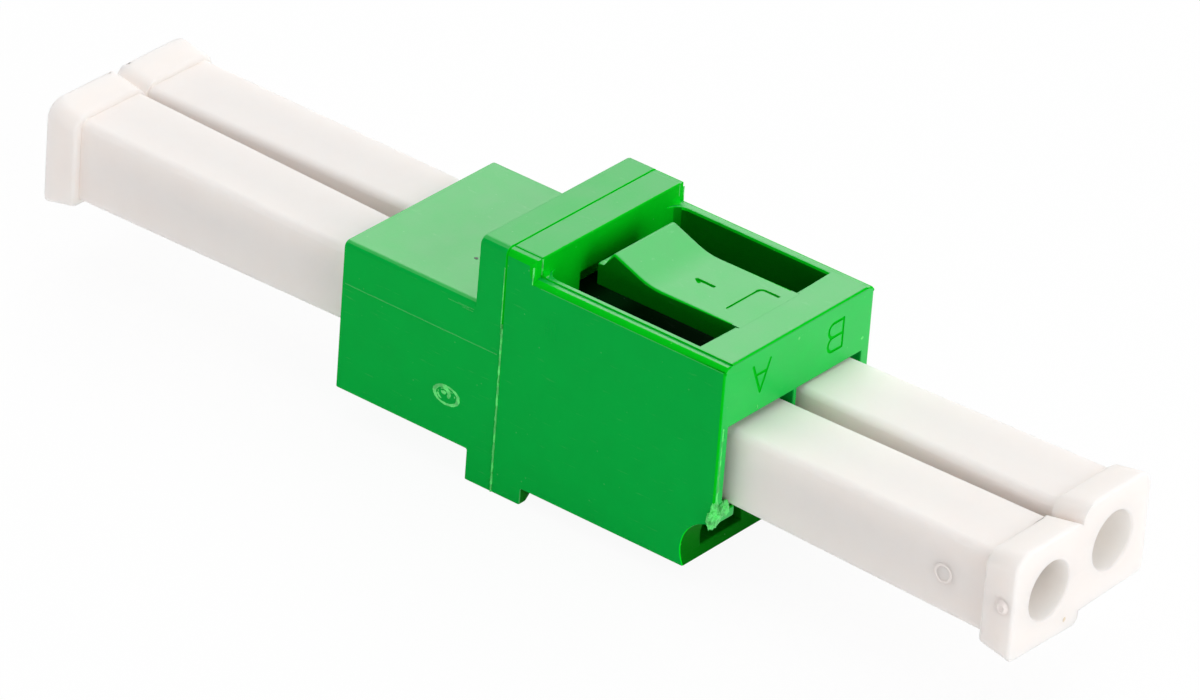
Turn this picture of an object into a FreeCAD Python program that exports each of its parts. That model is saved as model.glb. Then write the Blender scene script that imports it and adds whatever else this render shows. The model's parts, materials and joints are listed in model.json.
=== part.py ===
"""LC duplex fibre adapter for a panel, with a twin dust cap pushed into each end.

Frame: +X runs along the fibres towards the front ports, +Z is up. The origin lies on the panel
seat, which is the front face of the flange, on the centre plane and at the height of the fibres.
"""
import FreeCAD
import Part
import Sketcher
import math
import os

# Driving dimensions in millimetres. Reaches and depths along X start at the panel seat,
# tops and drops along Z start at the plane of the two fibres.
DIMENSIONS = {
    # both moulded halves
    "body_width": 14.0,
    "port_pitch": 6.25,
    "seam_depth": 2.15,
    "seam_bevel": 0.08,
    "flange_depth": 4.18,
    "flange_top": 8.25,
    "flange_round": 0.5,
    "foot_drop": 8.2,
    "foot_land": 0.65,
    "foot_fillet": 0.1,
    # front half
    "front_reach": 14.14,
    "front_top": 7.05,
    "front_drop": 7.09,
    "rail_width": 0.85,
    "rail_fillet": 0.45,
    "bar_depth": 2.6,
    "pocket_floor": 3.3,
    "pocket_corner": 0.8,
    "tunnel_width": 5.34,
    "tunnel_top": 5.83,
    "cove_radius": 2.35,
    "cove_reach": 14.25,
    "cove_drop": 5.9,
    "front_mouth_depth": 3.94,
    "front_key_drop": 6.45,
    "front_key_depth": 9.4,
    # rear half
    "rear_reach": 14.28,
    "rear_top": 3.83,
    "rear_drop": 6.13,
    "rear_round": 0.4,
    "rear_mouth_depth": 0.88,
    "rear_key_drop": 5.4,
    "rear_key_depth": 8.0,
    # ports and the ferrule guides in them
    "mouth_wall": 0.3,
    "mouth_width": 6.1,
    "mouth_top": 2.8,
    "mouth_drop": 2.85,
    "port_size": 4.65,
    "key_width": 3.8,
    "catch_width": 5.0,
    "catch_length": 3.0,
    "catch_drop": 5.2,
    "web_thickness": 1.3,
    "guide_diameter": 2.45,
    "guide_reach": 4.3,
    "cavity_diameter": 1.7,
    "cavity_reach": 3.45,
    "throat_diameter": 1.4,
    "lead_in_diameter": 1.9,
    # locating pegs across the seam
    "peg_diameter": 1.2,
    "peg_length": 0.9,
    "peg_gap": 0.05,
    "peg_spread": 10.4,
    "peg_top": 6.3,
    "peg_drop": 5.0,
    # split sleeves
    "sleeve_outer": 1.62,
    "sleeve_bore": 1.25,
    "sleeve_length": 6.8,
    "sleeve_slot": 0.25,
    # latch tongue
    "latch_width": 5.58,
    "latch_tip": 1.27,
    "latch_under": 5.63,
    "latch_ledge": 0.45,
    "latch_ledge_top": 7.07,
    "latch_apex": 2.36,
    "latch_apex_top": 8.13,
    "latch_apex_round": 0.25,
    "latch_ramp_foot": 5.13,
    "latch_ramp_blend": 4.25,
    "latch_root_relief": 0.25,
    "bead_radius": 0.5,
    "bead_gap": 0.03,
    # dust caps, measured from the tip of the spigots
    "front_cap_tip": 1.58,
    "rear_cap_tip": 4.85,
    "cap_length": 33.5,
    "spigot_diameter": 3.8,
    "spigot_bore": 3.1,
    "spigot_length": 9.0,
    "spigot_bore_depth": 15.5,
    "leg_root_size": 5.0,
    "leg_end": 31.17,
    "leg_end_size": 5.55,
    "leg_end_pitch": 6.0,
    "leg_corner": 0.5,
    "head_pitch": 6.24,
    "head_inner_width": 6.36,
    "head_inner_height": 6.1,
    "head_inner_corner": 1.0,
    "head_outer_width": 6.56,
    "head_outer_height": 7.0,
    "head_outer_corner": 1.2,
    "head_lower_corner": 0.5,
    "hole_pitch": 5.94,
    "hole_diameter": 3.7,
    "hole_end_diameter": 3.3,
    "hole_depth": 17.0,
    # how far the legs of each cap have settled apart in height, and dropped together
    "front_cap_root_skew": 0.13,
    "front_cap_end_skew": 0.36,
    "front_cap_head_skew": 0.4,
    "front_cap_drop": 0.0,
    "rear_cap_root_skew": -0.13,
    "rear_cap_end_skew": 0.0,
    "rear_cap_head_skew": 0.0,
    "rear_cap_drop": 0.08,
}

NEAR = 0.005
SIDES = (-1, 1)

doc = FreeCAD.newDocument("FibreAdapter")
sheet = doc.addObject("Spreadsheet::Sheet", "Size")
for row, (alias, value) in enumerate(DIMENSIONS.items(), 1):
    sheet.set(f"A{row}", alias)
    sheet.set(f"B{row}", str(value))
    sheet.setAlias(f"B{row}", alias)
doc.recompute()


def size(alias):
    """Value of a driving dimension."""
    return float(sheet.get(alias))


def new_body(label):
    """Empty body that will be written under its label."""
    body = doc.addObject("PartDesign::Body", label)
    body.Label = label
    return body


def sketch_on(body, name, plane, offset="0"):
    """Empty sketch on an origin plane of the body, moved along the normal of that plane."""
    sketch = body.newObject("Sketcher::SketchObject", name)
    planes = {feature.Role: feature for feature in body.Origin.OriginFeatures}
    sketch.AttachmentSupport = [(planes[plane], "")]
    sketch.MapMode = "FlatFace"
    sketch.setExpression("AttachmentOffset.Base.z", offset)
    return sketch


def bind(sketch, constraint, expression):
    """Add a dimension to the sketch and drive it by an expression."""
    index = sketch.addConstraint(constraint)
    sketch.setExpression(f"Constraints[{index}]", expression)


def fix_point(sketch, geometry, point, x, y):
    """Hold one point of the sketch at two expressions."""
    start = sketch.getPoint(geometry, point)
    bind(sketch, Sketcher.Constraint("DistanceX", geometry, point, start.x), x)
    bind(sketch, Sketcher.Constraint("DistanceY", geometry, point, start.y), y)


def draw_polygon(sketch, corners):
    """Closed outline of straight lines. Each corner is a pair of expressions."""
    count = len(corners)
    turns = [2 * math.pi * index / count for index in range(count)]
    start = [FreeCAD.Vector(math.cos(turn), math.sin(turn), 0) for turn in turns]
    lines = [
        sketch.addGeometry(Part.LineSegment(start[index], start[(index + 1) % count]))
        for index in range(count)
    ]
    for index, (x, y) in enumerate(corners):
        sketch.addConstraint(Sketcher.Constraint("Coincident", lines[index - 1], 2, lines[index], 1))
        fix_point(sketch, lines[index], 1, x, y)


def draw_rectangle(sketch, left, right, bottom, top):
    """Rectangle between four expressions."""
    draw_polygon(sketch, [(left, bottom), (right, bottom), (right, top), (left, top)])


def draw_circle(sketch, x, y, diameter):
    """Circle about a centre."""
    circle = sketch.addGeometry(Part.Circle(FreeCAD.Vector(), FreeCAD.Vector(0, 0, 1), 1.0))
    fix_point(sketch, circle, 3, x, y)
    bind(sketch, Sketcher.Constraint("Diameter", circle, 2.0), diameter)


def draw_rounded_rectangle(sketch, x, y, width, height, corner, lower_corner=None):
    """Rectangle about a centre, with round corners that may differ between the upper and lower pair."""
    lower_corner = lower_corner or corner
    quarter = math.pi / 2
    arcs = []
    for index in range(4):
        bearing = index * quarter
        middle = FreeCAD.Vector(math.cos(bearing + quarter / 2), math.sin(bearing + quarter / 2), 0)
        circle = Part.Circle(middle, FreeCAD.Vector(0, 0, 1), 0.5)
        arcs.append(sketch.addGeometry(Part.ArcOfCircle(circle, bearing, bearing + quarter)))
    for index, arc in enumerate(arcs):
        following = arcs[(index + 1) % 4]
        run = Part.LineSegment(sketch.getPoint(arc, 2), sketch.getPoint(following, 1))
        line = sketch.addGeometry(run)
        sketch.addConstraint(Sketcher.Constraint("Tangent", line, 1, arc, 2))
        sketch.addConstraint(Sketcher.Constraint("Tangent", line, 2, following, 1))
        sketch.addConstraint(Sketcher.Constraint("Vertical" if index % 2 else "Horizontal", line))
    for first, sense, radius in ((0, "+", corner), (2, "-", lower_corner)):
        sketch.addConstraint(Sketcher.Constraint("Equal", arcs[first], arcs[first + 1]))
        bind(sketch, Sketcher.Constraint("Radius", arcs[first], 0.5), radius)
        inset_x = f"({width} / 2 - {radius})"
        inset_y = f"({height} / 2 - {radius})"
        fix_point(sketch, arcs[first], 3, f"{x} {sense} {inset_x}", f"{y} {sense} {inset_y}")


def extrude(body, kind, name, sketch, length, symmetric=False, reverse=False):
    """Pad or Pocket of a sketch, checked to change the volume in its own sense."""
    before = body.Shape.Volume if body.Tip and not body.Shape.isNull() else 0.0
    feature = body.newObject(f"PartDesign::{kind}", name)
    feature.Profile = sketch
    feature.SideType = "Symmetric" if symmetric else "One side"
    feature.Reversed = reverse
    feature.setExpression("Length", length)
    doc.recompute()
    change = body.Shape.Volume - before
    if (change if kind == "Pad" else -change) < NEAR:
        raise RuntimeError(f"{body.Label}: {name} leaves the solid as it was")
    return feature


def loft(body, kind, name, first, last):
    """Straight loft between two sketches."""
    feature = body.newObject(f"PartDesign::{kind}", name)
    feature.Profile = first
    feature.Sections = [last]
    feature.Ruled = True
    doc.recompute()


def edges_at(body, x=None, y=None, z=None):
    """Names of the edges of the body that lie wholly at the given coordinates."""
    names = []
    for number, edge in enumerate(body.Tip.Shape.Edges, 1):
        box = edge.BoundBox
        spans = ((x, box.XMin, box.XMax), (y, box.YMin, box.YMax), (z, box.ZMin, box.ZMax))
        if all(at is None or max(abs(low - at), abs(high - at)) < NEAR for at, low, high in spans):
            names.append(f"Edge{number}")
    return names


def side_edges_at(body, z):
    """Names of the lengthwise edges on both flanks of the body at one height."""
    half = size("body_width") / 2
    return [name for side in SIDES for name in edges_at(body, y=side * half, z=z)]


def dress(body, kind, name, edges, dimension, expression):
    """Fillet or Chamfer on named edges of the body."""
    if not edges:
        raise RuntimeError(f"{body.Label}: {name} has no edges")
    feature = body.newObject(f"PartDesign::{kind}", name)
    feature.Base = (feature.BaseFeature, edges)
    feature.setExpression(dimension, expression)
    doc.recompute()
    if not feature.isValid():
        raise RuntimeError(f"{body.Label}: {name} fails")


def cut_foot_relief(body):
    """Recess under the flange that leaves a foot with a sloping inner flank on each side."""
    land = "(Size.body_width / 2 - Size.foot_land)"
    crown = f"({land} - (Size.foot_drop - Size.front_drop))"
    outline = sketch_on(body, "FootReliefOutline", "YZ_Plane")
    draw_polygon(outline, [
        (f"-{land}", "-Size.foot_drop"),
        (land, "-Size.foot_drop"),
        (crown, "-Size.front_drop"),
        (f"-{crown}", "-Size.front_drop"),
    ])
    extrude(body, "Pocket", "FootRelief", outline, "Size.flange_depth")


def cut_ports(body, face, inward, mouth_depth, key_drop, key_depth):
    """Two connector ports from an end face, with their mouths, latch keyways and latch catches."""
    mouth = sketch_on(body, "MouthOutline", "YZ_Plane", face)
    port = sketch_on(body, "PortOutline", "YZ_Plane", face)
    key = sketch_on(body, "KeywayOutline", "YZ_Plane", face)
    sense = -1 if inward else 1
    catch_place = f"{face} + {sense} * ({key_depth} - Size.catch_length)"
    catch = sketch_on(body, "CatchOutline", "YZ_Plane", catch_place)
    for side in SIDES:
        axis = f"{side} * Size.port_pitch / 2"
        near = f"{side} * Size.mouth_wall / 2"
        far = f"{side} * (Size.mouth_wall / 2 + Size.mouth_width)"
        draw_rectangle(mouth, near, far, "-Size.mouth_drop", "Size.mouth_top")
        half = "Size.port_size / 2"
        draw_rectangle(port, f"{axis} - {half}", f"{axis} + {half}", f"-{half}", half)
        half = "Size.key_width / 2"
        draw_rectangle(key, f"{axis} - {half}", f"{axis} + {half}", f"-{key_drop}", "0")
        half = "Size.catch_width / 2"
        draw_rectangle(catch, f"{axis} - {half}", f"{axis} + {half}", "-Size.catch_drop", "0")
    web_face = f"-Size.seam_depth - {sense} * Size.web_thickness"
    extrude(body, "Pocket", "Mouths", mouth, mouth_depth, reverse=not inward)
    extrude(body, "Pocket", "Ports", port, f"abs({face} - ({web_face}))", reverse=not inward)
    extrude(body, "Pocket", "Keyways", key, key_depth, reverse=not inward)
    extrude(body, "Pocket", "Catches", catch, "Size.catch_length", reverse=not inward)
    add_ferrule_guides(body, web_face, inward)


def add_ferrule_guides(body, web_face, forward):
    """Round guides on the web, each bored for half of a split sleeve."""
    seam = "-Size.seam_depth"
    guide = sketch_on(body, "GuideOutline", "YZ_Plane", web_face)
    cavity = sketch_on(body, "CavityOutline", "YZ_Plane", seam)
    for side in SIDES:
        axis = f"{side} * Size.port_pitch / 2"
        draw_circle(guide, axis, "0", "Size.guide_diameter")
        draw_circle(cavity, axis, "0", "Size.cavity_diameter")
    guide_length = "Size.guide_reach - Size.web_thickness"
    extrude(body, "Pad", "Guides", guide, guide_length, reverse=not forward)
    extrude(body, "Pocket", "Cavities", cavity, "Size.cavity_reach", reverse=forward)
    for side in SIDES:
        cut_lead_in(body, side, 1 if forward else -1)


def cut_lead_in(body, side, sense):
    """Flared ferrule hole through the lip that keeps a split sleeve in its guide."""
    axis = f"{side} * Size.port_pitch / 2"
    throat_place = f"{sense} * Size.cavity_reach - Size.seam_depth"
    throat = sketch_on(body, "LeadInThroat", "YZ_Plane", throat_place)
    draw_circle(throat, axis, "0", "Size.throat_diameter")
    flare_place = f"{sense} * Size.guide_reach - Size.seam_depth"
    flare = sketch_on(body, "LeadInFlare", "YZ_Plane", flare_place)
    draw_circle(flare, axis, "0", "Size.lead_in_diameter")
    loft(body, "SubtractiveLoft", "LeadIn", throat, flare)


def draw_pegs(sketch, diameter):
    """Four circles for the locating pegs or their holes."""
    for side in SIDES:
        for height in ("Size.peg_top", "-Size.peg_drop"):
            draw_circle(sketch, f"{side} * Size.peg_spread / 2", height, diameter)


def make_front_housing():
    """Front moulding: half the flange, the ports and the open pocket round the latch tongue."""
    body = new_body("front_housing")
    outline = sketch_on(body, "FrontOutline", "XZ_Plane")
    draw_polygon(outline, [
        ("-Size.seam_depth", "-Size.foot_drop"),
        ("0", "-Size.foot_drop"),
        ("0", "-Size.front_drop"),
        ("Size.front_reach", "-Size.front_drop"),
        ("Size.front_reach", "Size.front_top"),
        ("0", "Size.front_top"),
        ("0", "Size.flange_top"),
        ("-Size.seam_depth", "Size.flange_top"),
    ])
    extrude(body, "Pad", "FrontBlock", outline, "Size.body_width", symmetric=True)
    rail_edges = edges_at(body, x=0, z=size("front_top"))
    dress(body, "Fillet", "RailFillet", rail_edges, "Radius", "Size.rail_fillet")
    foot_edges = edges_at(body, x=0, z=-size("front_drop"))
    dress(body, "Fillet", "FootFillet", foot_edges, "Radius", "Size.foot_fillet")
    upper = side_edges_at(body, size("flange_top")) + side_edges_at(body, size("front_top"))
    dress(body, "Fillet", "UpperRound", upper, "Radius", "Size.flange_round")
    cut_foot_relief(body)
    rim = edges_at(body, x=-size("seam_depth"))
    dress(body, "Chamfer", "SeamBevel", rim, "Size", "Size.seam_bevel")

    cove = sketch_on(body, "CoveOutline", "XZ_Plane")
    draw_circle(cove, "Size.cove_reach", "-Size.cove_drop", "2 * Size.cove_radius")
    extrude(body, "Pocket", "Cove", cove, "Size.body_width", symmetric=True)

    pocket_width = "(Size.body_width - 2 * Size.rail_width)"
    pocket_reach = "(Size.front_reach - Size.bar_depth)"
    pocket_brim = "Size.front_top + Size.rail_fillet"
    pocket_depth = f"{pocket_brim} - Size.pocket_floor"
    rounded = sketch_on(body, "PocketOutline", "XY_Plane", pocket_brim)
    draw_rounded_rectangle(
        rounded, f"{pocket_reach} / 2", "0", pocket_reach, pocket_width, "Size.pocket_corner",
    )
    extrude(body, "Pocket", "LatchPocket", rounded, pocket_depth)
    square = sketch_on(body, "PocketFrontOutline", "XY_Plane", pocket_brim)
    draw_rectangle(
        square, f"{pocket_reach} / 2", pocket_reach, f"-{pocket_width} / 2", f"{pocket_width} / 2",
    )
    extrude(body, "Pocket", "PocketFrontCorners", square, pocket_depth)

    tunnel = sketch_on(body, "TunnelOutline", "YZ_Plane")
    tunnel_half = "Size.tunnel_width / 2"
    draw_rectangle(tunnel, f"-{tunnel_half}", tunnel_half, "Size.pocket_floor", "Size.tunnel_top")
    extrude(body, "Pocket", "CoreTunnel", tunnel, "Size.seam_depth")

    groove = sketch_on(body, "GrooveOutline", "XZ_Plane")
    bead_height = "Size.front_top - Size.bead_radius"
    draw_circle(groove, pocket_reach, bead_height, "2 * (Size.bead_radius + Size.bead_gap)")
    groove_width = "Size.latch_width + 2 * Size.bead_gap"
    extrude(body, "Pocket", "LatchGroove", groove, groove_width, symmetric=True)

    cut_ports(
        body, "Size.front_reach", True,
        "Size.front_mouth_depth", "Size.front_key_drop", "Size.front_key_depth",
    )
    holes = sketch_on(body, "PegHoleOutline", "YZ_Plane", "-Size.seam_depth")
    draw_pegs(holes, "Size.peg_diameter + 2 * Size.peg_gap")
    extrude(body, "Pocket", "PegHoles", holes, "Size.peg_length + Size.peg_gap", reverse=True)
    return body


def make_panel_latch():
    """Latch tongue of the front moulding, with a bead at its root as the axis it bends about."""
    body = new_body("panel_latch")
    root = "(Size.front_reach - Size.bar_depth)"
    bead_height = "Size.front_top - Size.bead_radius"
    outline = sketch_on(body, "TongueOutline", "XZ_Plane")
    draw_polygon(outline, [
        ("Size.latch_tip", "Size.latch_under"),
        (f"{root} - Size.latch_root_relief", "Size.latch_under"),
        (root, bead_height),
        (root, "Size.front_top"),
        ("Size.latch_ramp_foot", "Size.front_top"),
        ("Size.latch_apex", "Size.latch_apex_top"),
        ("Size.latch_tip + Size.latch_ledge", "Size.latch_ledge_top"),
        ("Size.latch_tip", "Size.latch_ledge_top"),
    ])
    extrude(body, "Pad", "Tongue", outline, "Size.latch_width", symmetric=True)
    ramp_foot = edges_at(body, x=size("latch_ramp_foot"), z=size("front_top"))
    dress(body, "Fillet", "RampBlend", ramp_foot, "Radius", "Size.latch_ramp_blend")
    apex = edges_at(body, x=size("latch_apex"), z=size("latch_apex_top"))
    dress(body, "Fillet", "ApexRound", apex, "Radius", "Size.latch_apex_round")
    bead = sketch_on(body, "BeadOutline", "XZ_Plane")
    draw_circle(bead, root, bead_height, "2 * Size.bead_radius")
    extrude(body, "Pad", "RootBead", bead, "Size.latch_width", symmetric=True)
    return body


def make_rear_housing():
    """Rear moulding: the other half of the flange and a lower block with the rear ports."""
    body = new_body("rear_housing")
    outline = sketch_on(body, "RearOutline", "XZ_Plane")
    draw_polygon(outline, [
        ("-Size.rear_reach", "-Size.rear_drop"),
        ("-Size.flange_depth", "-Size.rear_drop"),
        ("-Size.flange_depth", "-Size.foot_drop"),
        ("-Size.seam_depth", "-Size.foot_drop"),
        ("-Size.seam_depth", "Size.flange_top"),
        ("-Size.flange_depth", "Size.flange_top"),
        ("-Size.flange_depth", "Size.rear_top"),
        ("-Size.rear_reach", "Size.rear_top"),
    ])
    extrude(body, "Pad", "RearBlock", outline, "Size.body_width", symmetric=True)
    foot_edges = edges_at(body, x=-size("flange_depth"), z=-size("rear_drop"))
    dress(body, "Fillet", "FootFillet", foot_edges, "Radius", "Size.foot_fillet")
    flange_edges = side_edges_at(body, size("flange_top"))
    dress(body, "Fillet", "FlangeRound", flange_edges, "Radius", "Size.flange_round")
    block_edges = side_edges_at(body, size("rear_top"))
    dress(body, "Fillet", "BlockRound", block_edges, "Radius", "Size.rear_round")
    cut_foot_relief(body)
    rim = edges_at(body, x=-size("seam_depth"))
    dress(body, "Chamfer", "SeamBevel", rim, "Size", "Size.seam_bevel")
    cut_ports(
        body, "-Size.rear_reach", False,
        "Size.rear_mouth_depth", "Size.rear_key_drop", "Size.rear_key_depth",
    )
    pegs = sketch_on(body, "PegOutline", "YZ_Plane", "-Size.seam_depth")
    draw_pegs(pegs, "Size.peg_diameter")
    extrude(body, "Pad", "Pegs", pegs, "Size.peg_length")
    return body


def make_sleeve(label, side):
    """Split sleeve that lines up two ferrules, slotted along its top."""
    body = new_body(label)
    ring = sketch_on(body, "RingOutline", "YZ_Plane")
    draw_circle(ring, "0", "0", "Size.sleeve_outer")
    draw_circle(ring, "0", "0", "Size.sleeve_bore")
    extrude(body, "Pad", "Ring", ring, "Size.sleeve_length", symmetric=True)
    slot = sketch_on(body, "SlotOutline", "YZ_Plane")
    half = "Size.sleeve_slot / 2"
    draw_rectangle(slot, f"-{half}", half, "0", "Size.sleeve_outer")
    extrude(body, "Pocket", "Slot", slot, "Size.sleeve_length", symmetric=True)
    body.setExpression("Placement.Base.x", "-Size.seam_depth")
    body.setExpression("Placement.Base.y", f"{side} * Size.port_pitch / 2")
    return body


def leg_height(cap, place, side):
    """Height of the middle of a cap's leg at its root, its end or its head."""
    apart = f"{side} * Size.{cap}_{place}_skew"
    return f"({apart})" if place == "root" else f"({apart} - Size.{cap}_drop)"


def add_cap_head(body, cap, side):
    """Flared end of one leg, which overlaps its neighbour on the centre plane."""
    y = f"{side} * Size.head_pitch / 2"
    z = leg_height(cap, "head", side)
    inner = sketch_on(body, "HeadInner", "YZ_Plane", "Size.leg_end")
    draw_rounded_rectangle(
        inner, y, z, "Size.head_inner_width", "Size.head_inner_height",
        "Size.head_inner_corner", "Size.head_lower_corner",
    )
    outer = sketch_on(body, "HeadOuter", "YZ_Plane", "Size.cap_length")
    draw_rounded_rectangle(
        outer, y, z, "Size.head_outer_width", "Size.head_outer_height",
        "Size.head_outer_corner", "Size.head_lower_corner",
    )
    loft(body, "AdditiveLoft", "Head", inner, outer)


def add_cap_leg(body, cap, side):
    """Square leg that widens and drifts in height from the spigot to the head."""
    root = sketch_on(body, "LegRoot", "YZ_Plane", "Size.spigot_length")
    draw_rounded_rectangle(
        root, f"{side} * Size.port_pitch / 2", leg_height(cap, "root", side),
        "Size.leg_root_size", "Size.leg_root_size", "Size.leg_corner",
    )
    end = sketch_on(body, "LegEnd", "YZ_Plane", "Size.leg_end")
    draw_rounded_rectangle(
        end, f"{side} * Size.leg_end_pitch / 2", leg_height(cap, "end", side),
        "Size.leg_end_size", "Size.leg_end_size", "Size.leg_corner",
    )
    loft(body, "AdditiveLoft", "Leg", root, end)


def cut_cap_hole(body, cap, side):
    """Tapering hole from the head down the leg."""
    share = "(Size.cap_length - Size.hole_depth - Size.spigot_length)"
    share = f"{share} / (Size.leg_end - Size.spigot_length)"
    outer = sketch_on(body, "HoleOuter", "YZ_Plane", "Size.cap_length")
    draw_circle(
        outer, f"{side} * Size.hole_pitch / 2", leg_height(cap, "head", side), "Size.hole_diameter",
    )
    pitch = f"(Size.port_pitch + (Size.leg_end_pitch - Size.port_pitch) * {share})"
    root, end = leg_height(cap, "root", side), leg_height(cap, "end", side)
    height = f"{root} + ({end} - {root}) * {share}"
    inner = sketch_on(body, "HoleInner", "YZ_Plane", "Size.cap_length - Size.hole_depth")
    draw_circle(inner, f"{side} * {pitch} / 2", height, "Size.hole_end_diameter")
    loft(body, "SubtractiveLoft", "Hole", outer, inner)


def make_dust_cap(label, cap, tip, half_turn):
    """Twin dust cap: two hollow legs joined at their heads, with round spigots for the ports."""
    body = new_body(label)
    for side in SIDES:
        add_cap_head(body, cap, side)
    for side in SIDES:
        add_cap_leg(body, cap, side)
    spigot = sketch_on(body, "SpigotOutline", "YZ_Plane")
    bore = sketch_on(body, "SpigotBoreOutline", "YZ_Plane")
    for side in SIDES:
        draw_circle(spigot, f"{side} * Size.port_pitch / 2", "0", "Size.spigot_diameter")
        draw_circle(bore, f"{side} * Size.port_pitch / 2", "0", "Size.spigot_bore")
    extrude(body, "Pad", "Spigots", spigot, "Size.spigot_length")
    extrude(body, "Pocket", "SpigotBores", bore, "Size.spigot_bore_depth", reverse=True)
    for side in SIDES:
        cut_cap_hole(body, cap, side)
    if half_turn:
        upright = FreeCAD.Vector(0, 0, 1)
        body.Placement = FreeCAD.Placement(FreeCAD.Vector(), FreeCAD.Rotation(upright, 180))
    body.setExpression("Placement.Base.x", tip)
    return body


nodes = [
    make_front_housing(),
    make_panel_latch(),
    make_rear_housing(),
    make_sleeve("sleeve_a", -1),
    make_sleeve("sleeve_b", 1),
    make_dust_cap("front_dust_cap", "front_cap", "Size.front_cap_tip", False),
    make_dust_cap("rear_dust_cap", "rear_cap", "-Size.rear_cap_tip", True),
]
doc.recompute()

failed = [item.Name for item in doc.Objects if {"Invalid", "Error"} & set(item.State)]
if failed:
    raise RuntimeError(f"failed objects: {failed}")
for node in nodes:
    if node.Shape.isNull() or not node.Shape.isValid() or len(node.Shape.Solids) != 1:
        raise RuntimeError(f"{node.Label} is not one valid solid")

os.makedirs("parts", exist_ok=True)
for node in nodes:
    node.Shape.exportStep(f"parts/{node.Label}.step")
    box = node.Shape.BoundBox
    print(f"{node.Label}: {box.XLength:.2f} x {box.YLength:.2f} x {box.ZLength:.2f} mm")
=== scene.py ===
import json
import math

import bmesh
import bpy
from mathutils import Euler, Matrix, Vector, noise
from mathutils.bvhtree import BVHTree


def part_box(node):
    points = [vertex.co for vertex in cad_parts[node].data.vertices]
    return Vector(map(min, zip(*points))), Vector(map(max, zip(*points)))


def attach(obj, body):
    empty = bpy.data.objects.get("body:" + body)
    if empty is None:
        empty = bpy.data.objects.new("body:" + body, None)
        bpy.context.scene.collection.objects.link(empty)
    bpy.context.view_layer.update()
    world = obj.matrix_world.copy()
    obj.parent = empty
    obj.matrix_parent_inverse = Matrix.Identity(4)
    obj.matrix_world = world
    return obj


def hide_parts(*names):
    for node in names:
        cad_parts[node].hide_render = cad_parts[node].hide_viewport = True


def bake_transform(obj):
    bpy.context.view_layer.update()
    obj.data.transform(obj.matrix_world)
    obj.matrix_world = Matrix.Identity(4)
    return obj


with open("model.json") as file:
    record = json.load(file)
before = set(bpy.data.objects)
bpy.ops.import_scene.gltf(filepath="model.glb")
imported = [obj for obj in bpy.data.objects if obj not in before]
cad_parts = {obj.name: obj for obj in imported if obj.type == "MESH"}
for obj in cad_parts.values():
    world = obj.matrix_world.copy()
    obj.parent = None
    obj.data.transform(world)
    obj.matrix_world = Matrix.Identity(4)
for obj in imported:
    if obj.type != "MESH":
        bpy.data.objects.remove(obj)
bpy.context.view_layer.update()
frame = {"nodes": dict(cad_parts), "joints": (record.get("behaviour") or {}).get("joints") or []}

bl_info = {
    "name": "Duplex fibre adapter",
    "version": (1, 0, 0),
    "blender": (4, 5, 0),
    "location": "View3D > Sidebar > Adapter",
    "description": "Dresses the packed adapter: housings, latch tongue, dust caps and a pale stage",
    "category": "Object",
}

MM = 0.001

# Packed sizes in millimetres: meshes are edited in millimetres and written in metres.
FRONT_LOW, FRONT_HIGH = (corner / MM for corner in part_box("front_housing"))
REAR_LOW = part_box("rear_housing")[0] / MM
LATCH_LOW, LATCH_HIGH = (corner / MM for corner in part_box("panel_latch"))
LATCH_ROOT = next(
    Vector(joint["pos_m"]) / MM for joint in frame["joints"] if joint["name"] == "latch_flex")
SEAM = FRONT_LOW.x
FRONT_FACE = FRONT_HIGH.x
SIDE = FRONT_HIGH.y
FLANGE_TOP = FRONT_HIGH.z
FOOT = FRONT_LOW.z
BEAD_RADIUS = LATCH_HIGH.x - LATCH_ROOT.x
RAIL_TOP = LATCH_ROOT.z + BEAD_RADIUS

# Limits of the mesh work, in millimetres and radians.
WELD = 0.035
FLAT_TURN = math.radians(0.5)
HARD_TURN = math.radians(32)
SEAM_ZONE = 0.15
BURIED = 0.1
NEAR = 0.01
SKIN = 0.2
ARC_STEPS = 8
CORNER_STEPS = 6

# Shares of a face's normal along an axis, which tell flat, turned and rounded faces apart.
ROUNDED = 0.2
TURNED = 0.3
FACING = 0.7
LEVEL = 0.9
STEEP = 0.95
CREST = 0.97

# Port letters on the front band: the room round each, their places along Y and Z, and their half
# widths as shares of their height.
LETTER_ROOM = 1.3
LETTER_PLACES = {"A": (-3.53, 5.07), "B": (3.5, 4.93)}
LETTER_HALVES = {"A": 0.42, "B": 0.36}

# Section of a ridge of flash, as shares of its half width and its height. Below nought it is buried.
RIDGE_SECTION = ((-1, -1), (-1, 0.15), (-0.4, 0.9), (0.35, 1), (1, 0.2), (1, -1))


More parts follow.
